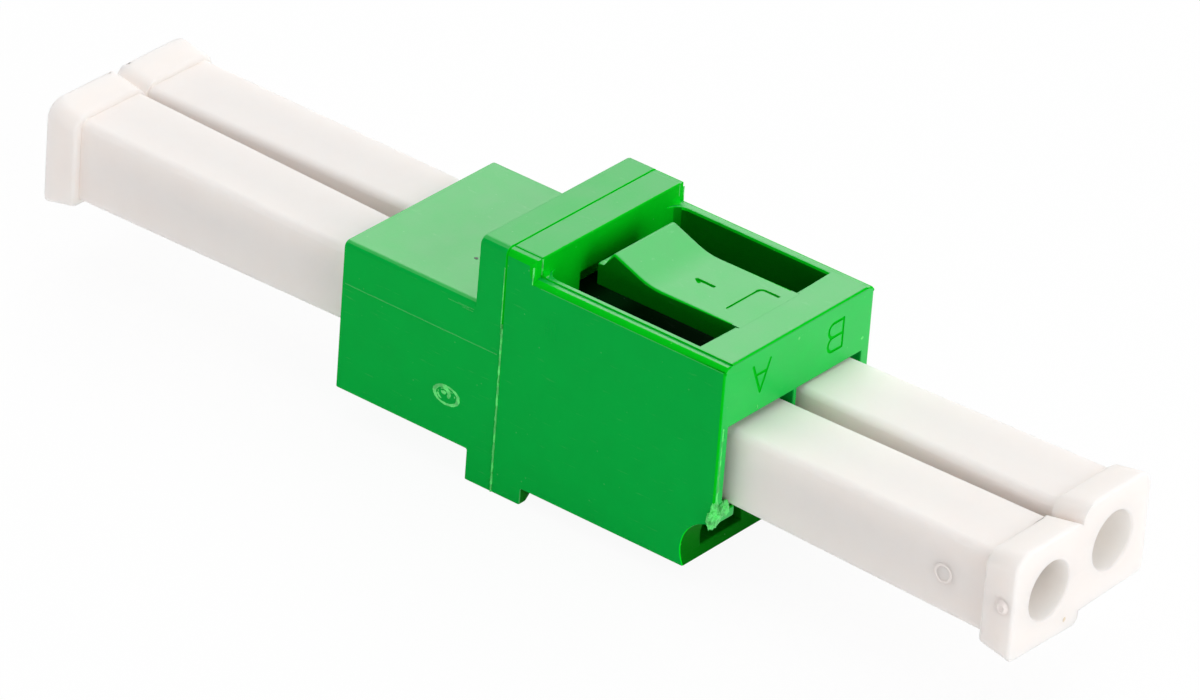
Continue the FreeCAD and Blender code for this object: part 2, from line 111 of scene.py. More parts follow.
class HousingSizes(bpy.types.PropertyGroup):
    """Fine sizes of the green mouldings."""

    edge_round: bpy.props.FloatProperty(
        name="Edge round", description="Width of the worn round on the moulded edges",
        default=0.1 * MM, unit="LENGTH", precision=6)
    corner_round: bpy.props.FloatProperty(
        name="Front corner round", description="Width of the round on the upright front corners",
        default=0.16 * MM, unit="LENGTH", precision=6)
    crest_round: bpy.props.FloatProperty(
        name="Crest round", description="Width of the round on the narrow crest of the rails",
        default=0.035 * MM, unit="LENGTH", precision=6)
    tongue_round: bpy.props.FloatProperty(
        name="Tongue round", description="Width of the round along the top of the tongue",
        default=0.15 * MM, unit="LENGTH", precision=6)
    letter_height: bpy.props.FloatProperty(
        name="Letter height", description="Height of the port letters on the front band",
        default=1.9 * MM, unit="LENGTH", precision=6)
    letter_stroke: bpy.props.FloatProperty(
        name="Letter stroke", description="Width of the strokes of the port letters",
        default=0.2 * MM, unit="LENGTH", precision=6)
    letter_depth: bpy.props.FloatProperty(
        name="Letter depth", description="Depth of the port letters",
        default=0.06 * MM, unit="LENGTH", precision=6)
    mark_stroke: bpy.props.FloatProperty(
        name="Mark stroke", description="Width of the marks on the latch tongue",
        default=0.2 * MM, unit="LENGTH", precision=6)
    mark_depth: bpy.props.FloatProperty(
        name="Mark depth", description="Depth of the marks on the latch tongue",
        default=0.14 * MM, unit="LENGTH", precision=6)


class StepSizes(bpy.types.PropertyGroup):
    """Sizes of the stepped edge that the mould leaves along the top of the front half."""

    rail_inset: bpy.props.FloatProperty(
        name="Rail inset", description="Distance of the step on the rails from the side wall",
        default=0.64 * MM, unit="LENGTH", precision=6)
    rail_drop: bpy.props.FloatProperty(
        name="Rail drop", description="Depth of the step on the rails",
        default=0.1 * MM, unit="LENGTH", precision=6)
    flange_inset: bpy.props.FloatProperty(
        name="Flange inset", description="Distance of the step on the flange from the side wall",
        default=0.642 * MM, unit="LENGTH", precision=6)
    flange_drop: bpy.props.FloatProperty(
        name="Flange drop", description="Depth of the step on the flange",
        default=0.08 * MM, unit="LENGTH", precision=6)
    edge_radius: bpy.props.FloatProperty(
        name="Edge radius", description="Radius of the round from the ledge down to the side wall",
        default=0.38 * MM, unit="LENGTH", precision=6)
    corner_radius: bpy.props.FloatProperty(
        name="Corner radius", description="Radius of the upright front corners of the flange",
        default=0.1 * MM, unit="LENGTH", precision=6)
    pocket_radius: bpy.props.FloatProperty(
        name="Pocket radius", description="Radius of the corners of the latch pocket at the flange",
        default=1.0 * MM, unit="LENGTH", precision=6)


class CapSizes(bpy.types.PropertyGroup):
    """Fine sizes of the dust caps."""

    face_round: bpy.props.FloatProperty(
        name="Head round", description="Width of the round on the outer edges of the heads",
        default=0.24 * MM, unit="LENGTH", precision=6)
    hole_round: bpy.props.FloatProperty(
        name="Hole round", description="Width of the round at the mouth of the holes",
        default=0.16 * MM, unit="LENGTH", precision=6)
    rim_round: bpy.props.FloatProperty(
        name="Leg round", description="Width of the round on the edges of the legs",
        default=0.1 * MM, unit="LENGTH", precision=6)


class Finishes(bpy.types.PropertyGroup):
    """Colours of the materials."""

    green: bpy.props.FloatVectorProperty(
        name="Green plastic", description="Colour of the mouldings",
        default=(0.0, 0.435, 0.052), subtype="COLOR", min=0, max=1)
    # Brighter green, painted on thin edges as light coming through them; the other painted greens are scaled
    # from it.
    edge_green: bpy.props.FloatVectorProperty(
        name="Edge green", description="Colour of thin edges, which light comes through",
        default=(0.0, 0.57, 0.01), subtype="COLOR", min=0, max=1)
    # Also painted on thin lines of the flange as highlights.
    torn_green: bpy.props.FloatVectorProperty(
        name="Torn green", description="Colour of the plastic where it is torn or stretched pale",
        default=(0.13, 0.88, 0.2), subtype="COLOR", min=0, max=1)
    cap_white: bpy.props.FloatVectorProperty(
        name="Cap white", description="Colour of the dust caps",
        default=(0.938, 0.866, 0.832), subtype="COLOR", min=0, max=1)
    # Paler white, painted on the walls of the holes as light coming through them.
    painted_hole_glow_white: bpy.props.FloatVectorProperty(
        name="Hole white", description="Colour of the walls of the holes in the dust caps",
        default=(1.0, 0.89, 0.83), subtype="COLOR", min=0, max=1)
    ceramic: bpy.props.FloatVectorProperty(
        name="Ceramic", description="Colour of the split sleeves",
        default=(0.86, 0.85, 0.80), subtype="COLOR", min=0, max=1)
    floor: bpy.props.FloatVectorProperty(
        name="Floor", description="Colour of the floor",
        default=(0.95, 0.95, 0.95), subtype="COLOR", min=0, max=1)


class StageSettings(bpy.types.PropertyGroup):
    """Camera and light."""

    azimuth: bpy.props.FloatProperty(
        name="Azimuth", description="Bearing of the camera, from the near side towards the front",
        default=math.radians(36.85), subtype="ANGLE")
    elevation: bpy.props.FloatProperty(
        name="Elevation", description="Height angle of the camera",
        default=math.radians(30.03), subtype="ANGLE")
    roll: bpy.props.FloatProperty(
        name="Roll", description="Turn of the camera about its own line of sight",
        default=math.radians(4.45), subtype="ANGLE")
    distance: bpy.props.FloatProperty(
        name="Distance", description="Distance of the camera from its target",
        default=0.55, unit="LENGTH")
    target: bpy.props.FloatVectorProperty(
        name="Target", description="Point that the camera looks at",
        default=(-0.0001, -0.0001, -0.0005), subtype="TRANSLATION", precision=6)
    focal_length: bpy.props.FloatProperty(
        name="Focal length", description="Focal length in millimetres on a 36 mm wide frame",
        default=280.7)
    room_level: bpy.props.FloatProperty(
        name="Room level", description="Brightness of the light from all round", default=0.08)
    back_level: bpy.props.FloatProperty(
        name="Back softbox", description="Brightness of the softbox behind the part", default=2.4)
    top_level: bpy.props.FloatProperty(
        name="Top softbox", description="Brightness of the softbox overhead", default=1.68)
    side_level: bpy.props.FloatProperty(
        name="Side softbox", description="Brightness of the low softbox on the near side", default=2.75)
    side_tint: bpy.props.FloatVectorProperty(
        name="Side tint", description="Colour of the softbox on the near side", subtype="COLOR",
        default=(1.0, 0.945, 0.955))
    fill_level: bpy.props.FloatProperty(
        name="Fill softbox", description="Brightness of the softbox above the camera", default=0.85)
    front_level: bpy.props.FloatProperty(
        name="Front softbox", description="Brightness of the softbox at the front", default=3.55)


# Mesh helpers


def solid_copy(node):
    """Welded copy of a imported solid, in millimetres, with its flat faces made whole."""
    solid = bmesh.new()
    solid.from_mesh(frame["nodes"][node].data)
    bmesh.ops.scale(solid, vec=Vector((1, 1, 1)) / MM, verts=solid.verts)
    bmesh.ops.remove_doubles(solid, verts=solid.verts, dist=WELD)
    bmesh.ops.dissolve_degenerate(solid, dist=WELD / 4, edges=solid.edges)
    bmesh.ops.dissolve_limit(solid, angle_limit=FLAT_TURN, verts=solid.verts, edges=solid.edges)
    bmesh.ops.recalc_face_normals(solid, faces=solid.faces)
    return solid


def midpoint(edge):
    """Midpoint of an edge."""
    return (edge.verts[0].co + edge.verts[1].co) / 2


def round_edges(solid, width, chosen, segments=2):
    """Round the sharp outer edges that the test on their midpoint chooses."""
    edges = [
        edge for edge in solid.edges
        if edge.is_manifold and edge.is_convex and edge.calc_face_angle() > HARD_TURN
        and chosen(midpoint(edge))
    ]
    bmesh.ops.bevel(
        solid, geom=edges, offset=width, offset_type="OFFSET", segments=segments, profile=0.5,
        affect="EDGES", clamp_overlap=False)


def loose_object(name, solid):
    """Object with the mesh of a solid, in the solid's own units."""
    mesh = bpy.data.meshes.new(name)
    solid.to_mesh(mesh)
    solid.free()
    item = bpy.data.objects.new(name, mesh)
    bpy.context.scene.collection.objects.link(item)
    return item


def engrave(solid, cutters):
    """The solid with closed cutters taken out of it."""
    host = loose_object("host", solid)
    tools = [loose_object("cutter", cutter) for cutter in cutters]
    for tool in tools:
        step = host.modifiers.new("cut", "BOOLEAN")
        step.operation = "DIFFERENCE"
        step.solver = "EXACT"
        step.object = tool
    bpy.context.view_layer.update()
    depsgraph = bpy.context.evaluated_depsgraph_get()
    mesh = bpy.data.meshes.new_from_object(host.evaluated_get(depsgraph))
    cut = bmesh.new()
    cut.from_mesh(mesh)
    bpy.data.meshes.remove(mesh)
    for item in (host, *tools):
        bpy.data.meshes.remove(item.data)
    return cut


def place_piece(
        name, solid, material, body="adapter", replaced=None, patches=()):
    """Write a solid as a piece of the part, in metres, riding on a body.

    patches are pairs of another material and a test on the middle and the normal of its faces.
    """
    solid.normal_update()
    for index, (_, chosen) in enumerate(patches, 1):
        for face in solid.faces:
            if chosen(face.calc_center_median(), face.normal):
                face.material_index = index
    bmesh.ops.scale(solid, vec=Vector((MM, MM, MM)), verts=solid.verts)
    for face in solid.faces:
        face.smooth = True
    for edge in solid.edges:
        edge.smooth = not edge.is_manifold or edge.calc_face_angle() < HARD_TURN
    piece = loose_object(name, solid)
    for finish in (material, *(patch[0] for patch in patches)):
        piece.data.materials.append(finish)
    normals = piece.modifiers.new("weighted_normals", "WEIGHTED_NORMAL")
    normals.keep_sharp = True
    normals.weight = 80
    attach(piece, body)
    if replaced:
        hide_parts(replaced)


def plane_at(origin, along, up):
    """Matrix that takes flat points to a plane through origin, with its third axis outward."""
    along, up = Vector(along), Vector(up)
    outward = along.cross(up)
    turn = Matrix((along, up, outward)).transposed().to_4x4()
    return Matrix.Translation(Vector(origin)) @ turn


def plane_on(node, start, heading, up):
    """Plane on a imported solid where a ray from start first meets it, with up as its second axis."""
    mesh = frame["nodes"][node].data
    tree = BVHTree.FromPolygons(
        [vertex.co for vertex in mesh.vertices], [polygon.vertices for polygon in mesh.polygons])
    point, outward, _, _ = tree.ray_cast(Vector(start) * MM, Vector(heading))
    if point is None:
        raise RuntimeError(f"no surface of {node} ahead of {tuple(start)}")
    along = Vector(up).cross(outward).normalized()
    return plane_at(point / MM, along, outward.cross(along))


def ribbon(path, half):
    """Outline of a stroke of even width along a flat path, with round ends."""
    points = [Vector(point) for point in path]
    steps = [(after - before).normalized() for before, after in zip(points, points[1:])]
    left, right = [], []
    for index, point in enumerate(points):
        before = steps[max(index - 1, 0)]
        after = steps[min(index, len(steps) - 1)]
        lean = (before + after).normalized()
        aside = Vector((-lean.y, lean.x)) * half / max(lean.dot(after), 0.5)
        left.append(point + aside)
        right.append(point - aside)

    def cap(centre, heading):
        start = math.atan2(heading.y, heading.x) + math.pi / 2
        turns = [start - math.pi * step / ARC_STEPS for step in range(1, ARC_STEPS)]
        return [centre + half * Vector((math.cos(turn), math.sin(turn))) for turn in turns]

    return left + cap(points[-1], steps[-1]) + right[::-1] + cap(points[0], -steps[0])


def stroke_cutter(path, width, depth, plane):
    """Closed bar along a flat path, from depth below the plane to just above it."""
    outline = ribbon(path, width / 2)
    return prism(outline, -depth, BURIED, lambda point, level: plane @ Vector((*point, level)))


def prism(section, low, high, place):
    """Closed prism of a flat section between two levels.

    place is a function of a flat point and a level that gives the point in space.
    """
    bar = bmesh.new()
    ends = [[bar.verts.new(place(point, level)) for point in section] for level in (low, high)]
    bar.faces.new(ends[0][::-1])
    bar.faces.new(ends[1])
    for index in range(len(section)):
        bar.faces.new((ends[0][index - 1], ends[0][index], ends[1][index], ends[1][index - 1]))
    bmesh.ops.recalc_face_normals(bar, faces=bar.faces)
    return bar


def arc(centre, radius, start, end, steps=10):
    """Points along an arc, with its angles in degrees."""
    turns = [math.radians(start + (end - start) * step / steps) for step in range(steps + 1)]
    return [(centre[0] + radius * math.cos(turn), centre[1] + radius * math.sin(turn)) for turn in turns]


def relief(plane, reach, height, rings, spokes):
    """Closed round patch on a plane whose height follows a function of the flat point."""
    patch = bmesh.new()
    crown = patch.verts.new(plane @ Vector((0, 0, height(0, 0))))
    rows = []
    for ring in range(1, rings + 1):
        row = []
        for spoke in range(spokes):
            turn = 2 * math.pi * spoke / spokes
            share = ring / rings
            flat = Vector((reach[0] * share * math.cos(turn), reach[1] * share * math.sin(turn)))
            lift = -BURIED if ring == rings else height(*flat)
            row.append(patch.verts.new(plane @ Vector((*flat, lift))))
        rows.append(row)
    for spoke in range(spokes):
        patch.faces.new((crown, rows[0][spoke - 1], rows[0][spoke]))
        for inner, outer in zip(rows, rows[1:]):
            patch.faces.new((inner[spoke - 1], outer[spoke - 1], outer[spoke], inner[spoke]))
    patch.faces.new(rows[-1][::-1])
    bmesh.ops.recalc_face_normals(patch, faces=patch.faces)
    return patch


def join_rows(bar, rows):
    """Close a bar whose sections are rows of points, one after the other."""
    for before, after in zip(rows, rows[1:]):
        for side in range(len(before)):
            bar.faces.new((before[side - 1], before[side], after[side], after[side - 1]))
    bar.faces.new(rows[0])
    bar.faces.new(rows[-1][::-1])
    bmesh.ops.recalc_face_normals(bar, faces=bar.faces)


def ridge(plane, path, half, height):
    """Closed ridge along a flat path. Half width and height are functions of the share of the run."""
    strip = bmesh.new()
    rows = []
    for index, point in enumerate(path):
        share = index / (len(path) - 1)
        following = Vector(path[min(index + 1, len(path) - 1)])
        heading = (following - Vector(path[max(index - 1, 0)])).normalized()
        aside = Vector((-heading.y, heading.x))
        row = []
        for across, up in RIDGE_SECTION:
            flat = Vector(point) + aside * across * half(share)
            lift = up * height(share) if up > 0 else -BURIED
            row.append(strip.verts.new(plane @ Vector((*flat, lift))))
        rows.append(row)
    join_rows(strip, rows)
    return strip


# Shader node groups


class Nodes:
    """Short way to add and join nodes of one tree."""

    def __init__(self, tree):
        self.tree = tree

    def add(self, kind, inputs=None, **settings):
        """Node of a kind, with its settings and its inputs set or joined."""
        node = self.tree.nodes.new(kind)
        for name, value in settings.items():
            setattr(node, name, value)
        for name, value in (inputs or {}).items():
            if isinstance(value, bpy.types.NodeSocket):
                self.tree.links.new(value, node.inputs[name])
            else:
                node.inputs[name].default_value = value
        return node


def new_group(name, inputs, outputs):
    """Empty shader node group with named float inputs and outputs."""
    tree = bpy.data.node_groups.new(name, "ShaderNodeTree")
    for label, default in inputs.items():
        socket = tree.interface.new_socket(label, in_out="INPUT", socket_type="NodeSocketFloat")
        socket.default_value = default
    for label in outputs:
        tree.interface.new_socket(label, in_out="OUTPUT", socket_type="NodeSocketFloat")
    nodes = Nodes(tree)
    return nodes, nodes.add("NodeGroupInput"), nodes.add("NodeGroupOutput")


def place_in_millimetres(nodes):
    """Socket with the place on the part in millimetres."""
    coordinates = nodes.add("ShaderNodeTexCoord")
    place = nodes.add(
        "ShaderNodeVectorMath", {0: coordinates.outputs["Object"], 3: 1 / MM}, operation="SCALE")
    return place.outputs[0]


def moulded_grain_group():
    """Fine satin grain of a mould wall: a height for bump and a share for roughness."""
    nodes, given, result = new_group(
        "moulded_grain", {"Grain Scale": 9.0, "Cloud Scale": 0.5}, ("Height", "Sheen", "Tone"))
    place = place_in_millimetres(nodes)
    grain = nodes.add(
        "ShaderNodeTexNoise",
        {"Vector": place, "Scale": given.outputs["Grain Scale"], "Detail": 4.0, "Roughness": 0.6})
    cloud = nodes.add(
        "ShaderNodeTexNoise",
        {"Vector": place, "Scale": given.outputs["Cloud Scale"], "Detail": 3.0, "Roughness": 0.55})
    mixed = nodes.add(
        "ShaderNodeMath", {0: grain.outputs["Fac"], 1: cloud.outputs["Fac"]}, operation="MULTIPLY")
    links = nodes.tree.links
    links.new(grain.outputs["Fac"], result.inputs["Height"])
    links.new(mixed.outputs[0], result.inputs["Sheen"])
    links.new(cloud.outputs["Fac"], result.inputs["Tone"])


def handling_group():
    """Hairline scuffs and settled dust: masks from stretched noise and from small cells."""
    nodes, given, result = new_group(
        "handling_wear", {"Scuff Amount": 0.4, "Dust Amount": 0.3}, ("Scuff", "Dust"))
    place = place_in_millimetres(nodes)
    stretched = nodes.add("ShaderNodeVectorMath", {0: place, 1: (0.35, 1.0, 4.0)}, operation="MULTIPLY")
    hairs = nodes.add(
        "ShaderNodeTexNoise",
        {"Vector": stretched.outputs[0], "Scale": 1.6, "Detail": 6.0, "Roughness": 0.7})
    scuff = nodes.add(
        "ShaderNodeMapRange",
        {"Value": hairs.outputs["Fac"], "From Min": 0.62, "From Max": 0.8,
         "To Max": given.outputs["Scuff Amount"]})
    cells = nodes.add("ShaderNodeTexVoronoi", {"Vector": place, "Scale": 1.1, "Randomness": 1.0})
    speck = nodes.add(
        "ShaderNodeMapRange",
        {"Value": cells.outputs["Distance"], "From Min": 0.07, "From Max": 0.03,
         "To Max": given.outputs["Dust Amount"]})
    links = nodes.tree.links
    links.new(scuff.outputs["Result"], result.inputs["Scuff"])
    links.new(speck.outputs["Result"], result.inputs["Dust"])


def plastic(name, colours, roughness, bump, wear, clouds=(0, 1), scales=(9.0, 0.5), sockets=None):
    """Moulded plastic: a clouded colour, satin grain, light scuffs and dust, made once for each name.

    colours are the plastic's own, the darker one that the clouds lead to and the one that wear leads
    to. clouds is the span of the cloud noise between the first two, scales are those of the grain and
    of the clouds, and sockets are plain values of the shader.
    """
    found = bpy.data.materials.get(name)
    if found:
        return found
    colour, shade, tint = ((*values, 1) for values in colours)
    material = bpy.data.materials.new(name)
    material.use_nodes = True
    nodes = Nodes(material.node_tree)
    shader = material.node_tree.nodes["Principled BSDF"]
    grain = nodes.add(
        "ShaderNodeGroup", {"Grain Scale": scales[0], "Cloud Scale": scales[1]},
        node_tree=bpy.data.node_groups["moulded_grain"])
    handled = nodes.add(
        "ShaderNodeGroup", {"Scuff Amount": wear, "Dust Amount": wear},
        node_tree=bpy.data.node_groups["handling_wear"])
    cloud = nodes.add(
        "ShaderNodeMapRange",
        {"Value": grain.outputs["Tone"], "From Min": clouds[0], "From Max": clouds[1]})
    clouded = nodes.add(
        "ShaderNodeMix", {"Factor": cloud.outputs["Result"], 6: shade, 7: colour}, data_type="RGBA")
    marks = nodes.add(
        "ShaderNodeMath", {0: handled.outputs["Scuff"], 1: handled.outputs["Dust"]}, operation="MAXIMUM")
    worn = nodes.add(
        "ShaderNodeMix", {"Factor": marks.outputs[0], 6: clouded.outputs[2], 7: tint}, data_type="RGBA")
    gloss = nodes.add(
        "ShaderNodeMapRange",
        {"Value": grain.outputs["Sheen"], "From Min": 0.1, "From Max": 0.45,
         "To Min": roughness - 0.05, "To Max": roughness + 0.06})
    relief_node = nodes.add(
        "ShaderNodeBump", {"Height": grain.outputs["Height"], "Strength": bump, "Distance": 0.02 * MM})
    links = material.node_tree.links
    links.new(worn.outputs[2], shader.inputs["Base Color"])
    links.new(gloss.outputs["Result"], shader.inputs["Roughness"])
    links.new(relief_node.outputs["Normal"], shader.inputs["Normal"])
    for label, value in (sockets or {}).items():
        shader.inputs[label].default_value = value
    return material


def scaled(colour, factor):
    """Colour made darker or paler by a factor."""
    return tuple(min(1.0, channel * factor) for channel in colour)


def toward_white(colour, share):
    """Colour led towards white by a share."""
    return tuple(channel + (1 - channel) * share for channel in colour)


def green_finish(name, share, specular, roughness, colour="green"):
    """Green plastic of the mouldings with its own shine, made darker or paler by a share, which most copies
    use for painted shade or painted light.
    """
    green = scaled(getattr(bpy.context.scene.adapter_finishes, colour), share)
    sockets = {
        "Specular IOR Level": specular,
        "Subsurface Weight": 0.06,
        "Subsurface Radius": (0.1, 0.5, 0.15),
        "Subsurface Scale": 0.4 * MM,
    }
    colours = scaled(green, 1.06), scaled(green, 0.93), toward_white(green, 0.22)
    return plastic(name, colours, roughness, bump=0.12, wear=0.25, sockets=sockets)


def green_moulding():
    """Green satin plastic of the housings and the tongue."""
    return green_finish("satin_green", 1.0, 0.46, 0.33)


def wall_green():
    """Duller skin of the side walls."""
    return green_finish("wall_green", 1.0, 0.03, 0.5)


def edge_green():
    """Brighter green painted on rounded and thin edges and on the front of the flange, as highlight and
    glow.
    """
    return green_finish("edge_green", 1.0, 0.02, 0.6, "edge_green")


def rim_green():
    """Bright green painted as light along the rim of the latch pocket and in the coves."""
    return green_finish("rim_green", 1.5, 0.02, 0.6, "edge_green")


def flange_green():
    """Satin skin on top of the flange, painted a little darker as shade."""
    return green_finish("flange_green", 0.95, 0.33, 0.36)


def front_green():
    """Satin skin of the front band, painted brighter as light."""
    return green_finish("front_green", 1.34, 0.36, 0.33)


def turn_green():
    """Painted shade on the foot, and where the flange turns into the latch pocket."""
    return green_finish("turn_green", 0.62, 0.02, 0.6, "edge_green")


def pocket_green():
    """Dark green painted as shade inside the latch pocket, on the sides of the tongue and in the keyways,
    without shine.
    """
    return green_finish("pocket_green", 0.33, 0.03, 0.6, "edge_green")


def deep_green():
    """Near black green painted as deep shade on the floor of the latch pocket, without shine."""
    return green_finish("deep_green", 0.08, 0.02, 0.7)


def sunk_green():
    """Brighter green painted in sunk lines against the shade in them, without shine."""
    return green_finish("sunk_green", 1.0, 0.02, 0.6, "edge_green")


def torn_green():
    """Pale green of torn and stretched plastic, also used for thin lines painted as highlights on the
    flange.
    """
    pale = tuple(bpy.context.scene.adapter_finishes.torn_green)
    colours = pale, scaled(pale, 0.62), toward_white(pale, 0.3)
    return plastic(
        "torn_green", colours, roughness=0.35, bump=0.6, wear=0.4, clouds=(0.42, 0.6), scales=(14.0, 1.8),
        sockets={"Specular IOR Level": 0.3})


def white_finish(name, softness, reach, colour="cap_white"):
    """White plastic of the dust caps, with the share and the depth to which light goes into it."""
    white = tuple(getattr(bpy.context.scene.adapter_finishes, colour))
    sockets = {
        "Specular IOR Level": 0.03,
        "Subsurface Weight": softness,
        "Subsurface Radius": (1.0, 0.95, 0.92),
        "Subsurface Scale": reach * MM,
    }
    colours = scaled(white, 1.01), scaled(white, 0.975), scaled(white, 0.9)
    return plastic(name, colours, roughness=0.42, bump=0.1, wear=0.12, sockets=sockets)


def cap_white():
    """Warm white soft plastic of the dust caps."""
    return white_finish("soft_white", 0.9, 1.5)


def painted_hole_glow_white():
    """Paler white painted on the walls of the holes as light coming through them; the deep subsurface
    scattering carries some of it too.
    """
    return white_finish("glowing_white", 1.0, 5.0, "painted_hole_glow_white")


def mark_white():
    """White of small raised marks on the caps."""
    return white_finish("mark_white", 0.0, 0.1)


def dirt_grey():
    """Grey of a stray crumb of dirt."""
    colours = (0.1, 0.12, 0.1), (0.05, 0.06, 0.05), (0.3, 0.3, 0.3)
    return plastic("dirt_grey", colours, roughness=0.6, bump=0.5, wear=0.3)


def tan_fleck():
    """Tan of a fleck caught in the white plastic."""
    colours = (0.84, 0.72, 0.56), (0.74, 0.6, 0.44), (0.9, 0.82, 0.7)
    return plastic("tan_fleck", colours, roughness=0.5, bump=0.2, wear=0.2)


def sleeve_ceramic():
    """Polished ceramic of the split sleeves."""
    ceramic = tuple(bpy.context.scene.adapter_finishes.ceramic)
    colours = ceramic, scaled(ceramic, 0.96), scaled(ceramic, 0.9)
    return plastic(
        "sleeve_ceramic", colours, roughness=0.16, bump=0.05, wear=0.05, sockets={"Specular IOR Level": 0.7})


# Pieces


def near_seam(point):
    """Is a point in the bevelled strip beside the seam?"""
    return abs(point.x - SEAM) < SEAM_ZONE


def on_side_wall(middle, normal):
    """Does a face look to either side?"""
    return abs(normal.y) > FACING


def on_flange_top(middle, normal):
    """Is a face part of the top of the flange?"""
    return middle.z > FLANGE_TOP - SKIN and normal.z > LEVEL


def in_seam_groove(middle, normal):
    """Is a face part of the bevel beside the seam?"""
    return near_seam(middle) and abs(normal.x) > TURNED


def letter_strokes(letter, height):
    """Paths of a port letter about its own centre. The letters stand on their heads."""
    top, half = height / 2, LETTER_HALVES[letter] * height
    if letter == "A":
        bar_half, bar_height = 0.62 * half, -0.3 * top
        paths = [
            [(-half, -top), (0, top)],
            [(half, -top), (0, top)],
            [(-bar_half, bar_height), (bar_half, bar_height)],
        ]
    else:
        bowl = height / 4
        paths = [[(-half, -top), (-half, top)]]
        for centre in (bowl, -bowl):
            curve = arc((half - bowl, centre), bowl, 90, -90)
            paths.append(curve + [(-half, centre - bowl)])
        paths.append([(-half, top), (half - bowl, top)])
    return [[(-x, -y) for x, y in path] for path in paths]


class ADAPTER_OT_front_half(bpy.types.Operator):
    """Front moulding with its port letters"""

    bl_idname = "adapter.front_half"
    bl_label = "Front half"

    # Room that the cutters need round the solid.
    step_room = 0.3
    run_out = 1.0
    flange_reach = 0.5
    overlap = 0.002
    clearance = 0.003
    # Each stroke of a letter is a share deeper than the one before it, so that their floors never meet.
    stroke_rise = 0.07
    letter_floor = 0.012
    # Skin of the latch pocket, and the height of the band painted bright below its rim.
    pocket_probe = 5.4
    probe_depth = 0.3
    lip_width = 0.09
    rim_round = 0.05
    painted_rim_height = 0.2
    # Zones that the rounds and the painted light and shade keep to: distances in from the side, the front or
    # the top, and heights and places along X.
    letter_zone = 0.5
    corner_zone = (-0.5, 0.1)
    corner_width = 0.75
    corner_height = 0.6
    lip_zone = (0.7, 1.0)
    step_width = 0.66
    step_height = 0.55
    wall_skin = 0.005
    flange_front = 0.3
    pocket_low = 2.0
    pocket_start = 0.1
    pocket_side = 0.6
    pocket_crest = 0.05
    foot_length = 2.6
    foot_height = -4.3
    foot_skin = 0.15
    keyway_side = 0.4
    keyway_top = -2.4
    sole = 0.3

    def edge_cutter(self, side, top, inset, drop, radius, low, high):
        """Cutter that leaves a step, a ledge and a round along one side of a top face."""
        inner, ledge, outer = SIDE - inset, top - drop, SIDE + self.step_room
        reach = SIDE + self.clearance - radius
        section = [(outer, top + self.step_room), (inner, top + self.step_room), (inner, ledge)]
        section += arc((reach, ledge - radius), radius, 90, 0, ARC_STEPS)
        section += [(outer, ledge - radius)]
        return prism(section, low, high, lambda point, x: (x, side * point[0], point[1]))

    def corner_cutters(self, side, inset, drop, radius, foot, round_foot):
        """Cutters that carry the step down one front edge of the flange and round its outer corner."""
        room = self.step_room
        step = [(-drop, SIDE - inset), (room, SIDE - inset), (room, SIDE + room), (-drop, SIDE + room)]
        corner = [(self.overlap - drop, SIDE + room), (self.overlap - drop, SIDE - radius)]
        corner += arc((-drop - radius, SIDE - radius), radius, 0, 90, CORNER_STEPS)
        corner += [(-drop - radius, SIDE + room)]
        return [
            prism(section, low, FLANGE_TOP + room, lambda point, z: (point[0], side * point[1], z))
            for section, low in ((step, foot), (corner, round_foot))
        ]

    def step_cutters(self, steps):
        """Cutters of the stepped edges of the rails and the flange, on both sides."""
        radius = steps.edge_radius / MM
        rail_drop, flange_drop = steps.rail_drop / MM, steps.flange_drop / MM
        flange_inset = steps.flange_inset / MM
        ledge = RAIL_TOP - rail_drop
        cutters = []
        for side in (-1, 1):
            cutters.append(self.edge_cutter(
                side, RAIL_TOP, steps.rail_inset / MM, rail_drop, radius,
                -flange_drop - self.overlap, FRONT_FACE + self.run_out))
            cutters.append(self.edge_cutter(
                side, FLANGE_TOP, flange_inset, flange_drop, radius, SEAM - self.run_out, self.flange_reach))
            cutters += self.corner_cutters(
                side, flange_inset, flange_drop, steps.corner_radius / MM, ledge + self.overlap,
                ledge - radius)
        return cutters

    def letter_cutters(self, sizes):
        """Cutters of the port letters on the front band."""
        cutters = []
        for letter, (y, z) in LETTER_PLACES.items():
            plane = plane_at((FRONT_FACE, y, z), (0, 1, 0), (0, 0, 1))
            for index, path in enumerate(letter_strokes(letter, sizes.letter_height / MM)):
                depth = sizes.letter_depth / MM * (1 + self.stroke_rise * index)
                cutters.append(stroke_cutter(path, sizes.letter_stroke / MM, depth, plane))
        return cutters

    def pocket_lip(self, side, radius):
        """Inner skin of a rail that rounds the corner of the pocket at the flange."""
        start = (self.pocket_probe, side * self.pocket_probe, RAIL_TOP - self.probe_depth)
        wall = abs(plane_on("front_housing", start, (0, side, 0), (0, 0, 1)).translation.y)
        floor = plane_on("front_housing", start, (0, 0, -1), (0, 1, 0)).translation.z
        bar = plane_on("front_housing", start, (1, 0, 0), (0, 0, 1)).translation.x
        inner = wall - self.lip_width
        section = [(-BURIED, wall + BURIED), (bar + BURIED, wall + BURIED), (bar + BURIED, inner)]
        section += arc((radius, inner - radius), radius, 90, 180)
        section += [(-BURIED, inner - radius)]
        lip = prism(
            section, floor - BURIED, RAIL_TOP - self.overlap,
            lambda point, z: (point[0], side * point[1], z))

        def rim(point):
            return NEAR < point.x < bar and abs(point.y) < inner + NEAR and point.z > RAIL_TOP - NEAR

        round_edges(lip, self.rim_round, rim)
        # This cut only bounds the band that is painted bright below the rim.
        bmesh.ops.bisect_plane(
            lip, geom=[*lip.verts, *lip.edges, *lip.faces],
            plane_co=(0, 0, RAIL_TOP - self.painted_rim_height), plane_no=(0, 0, 1))
        return lip

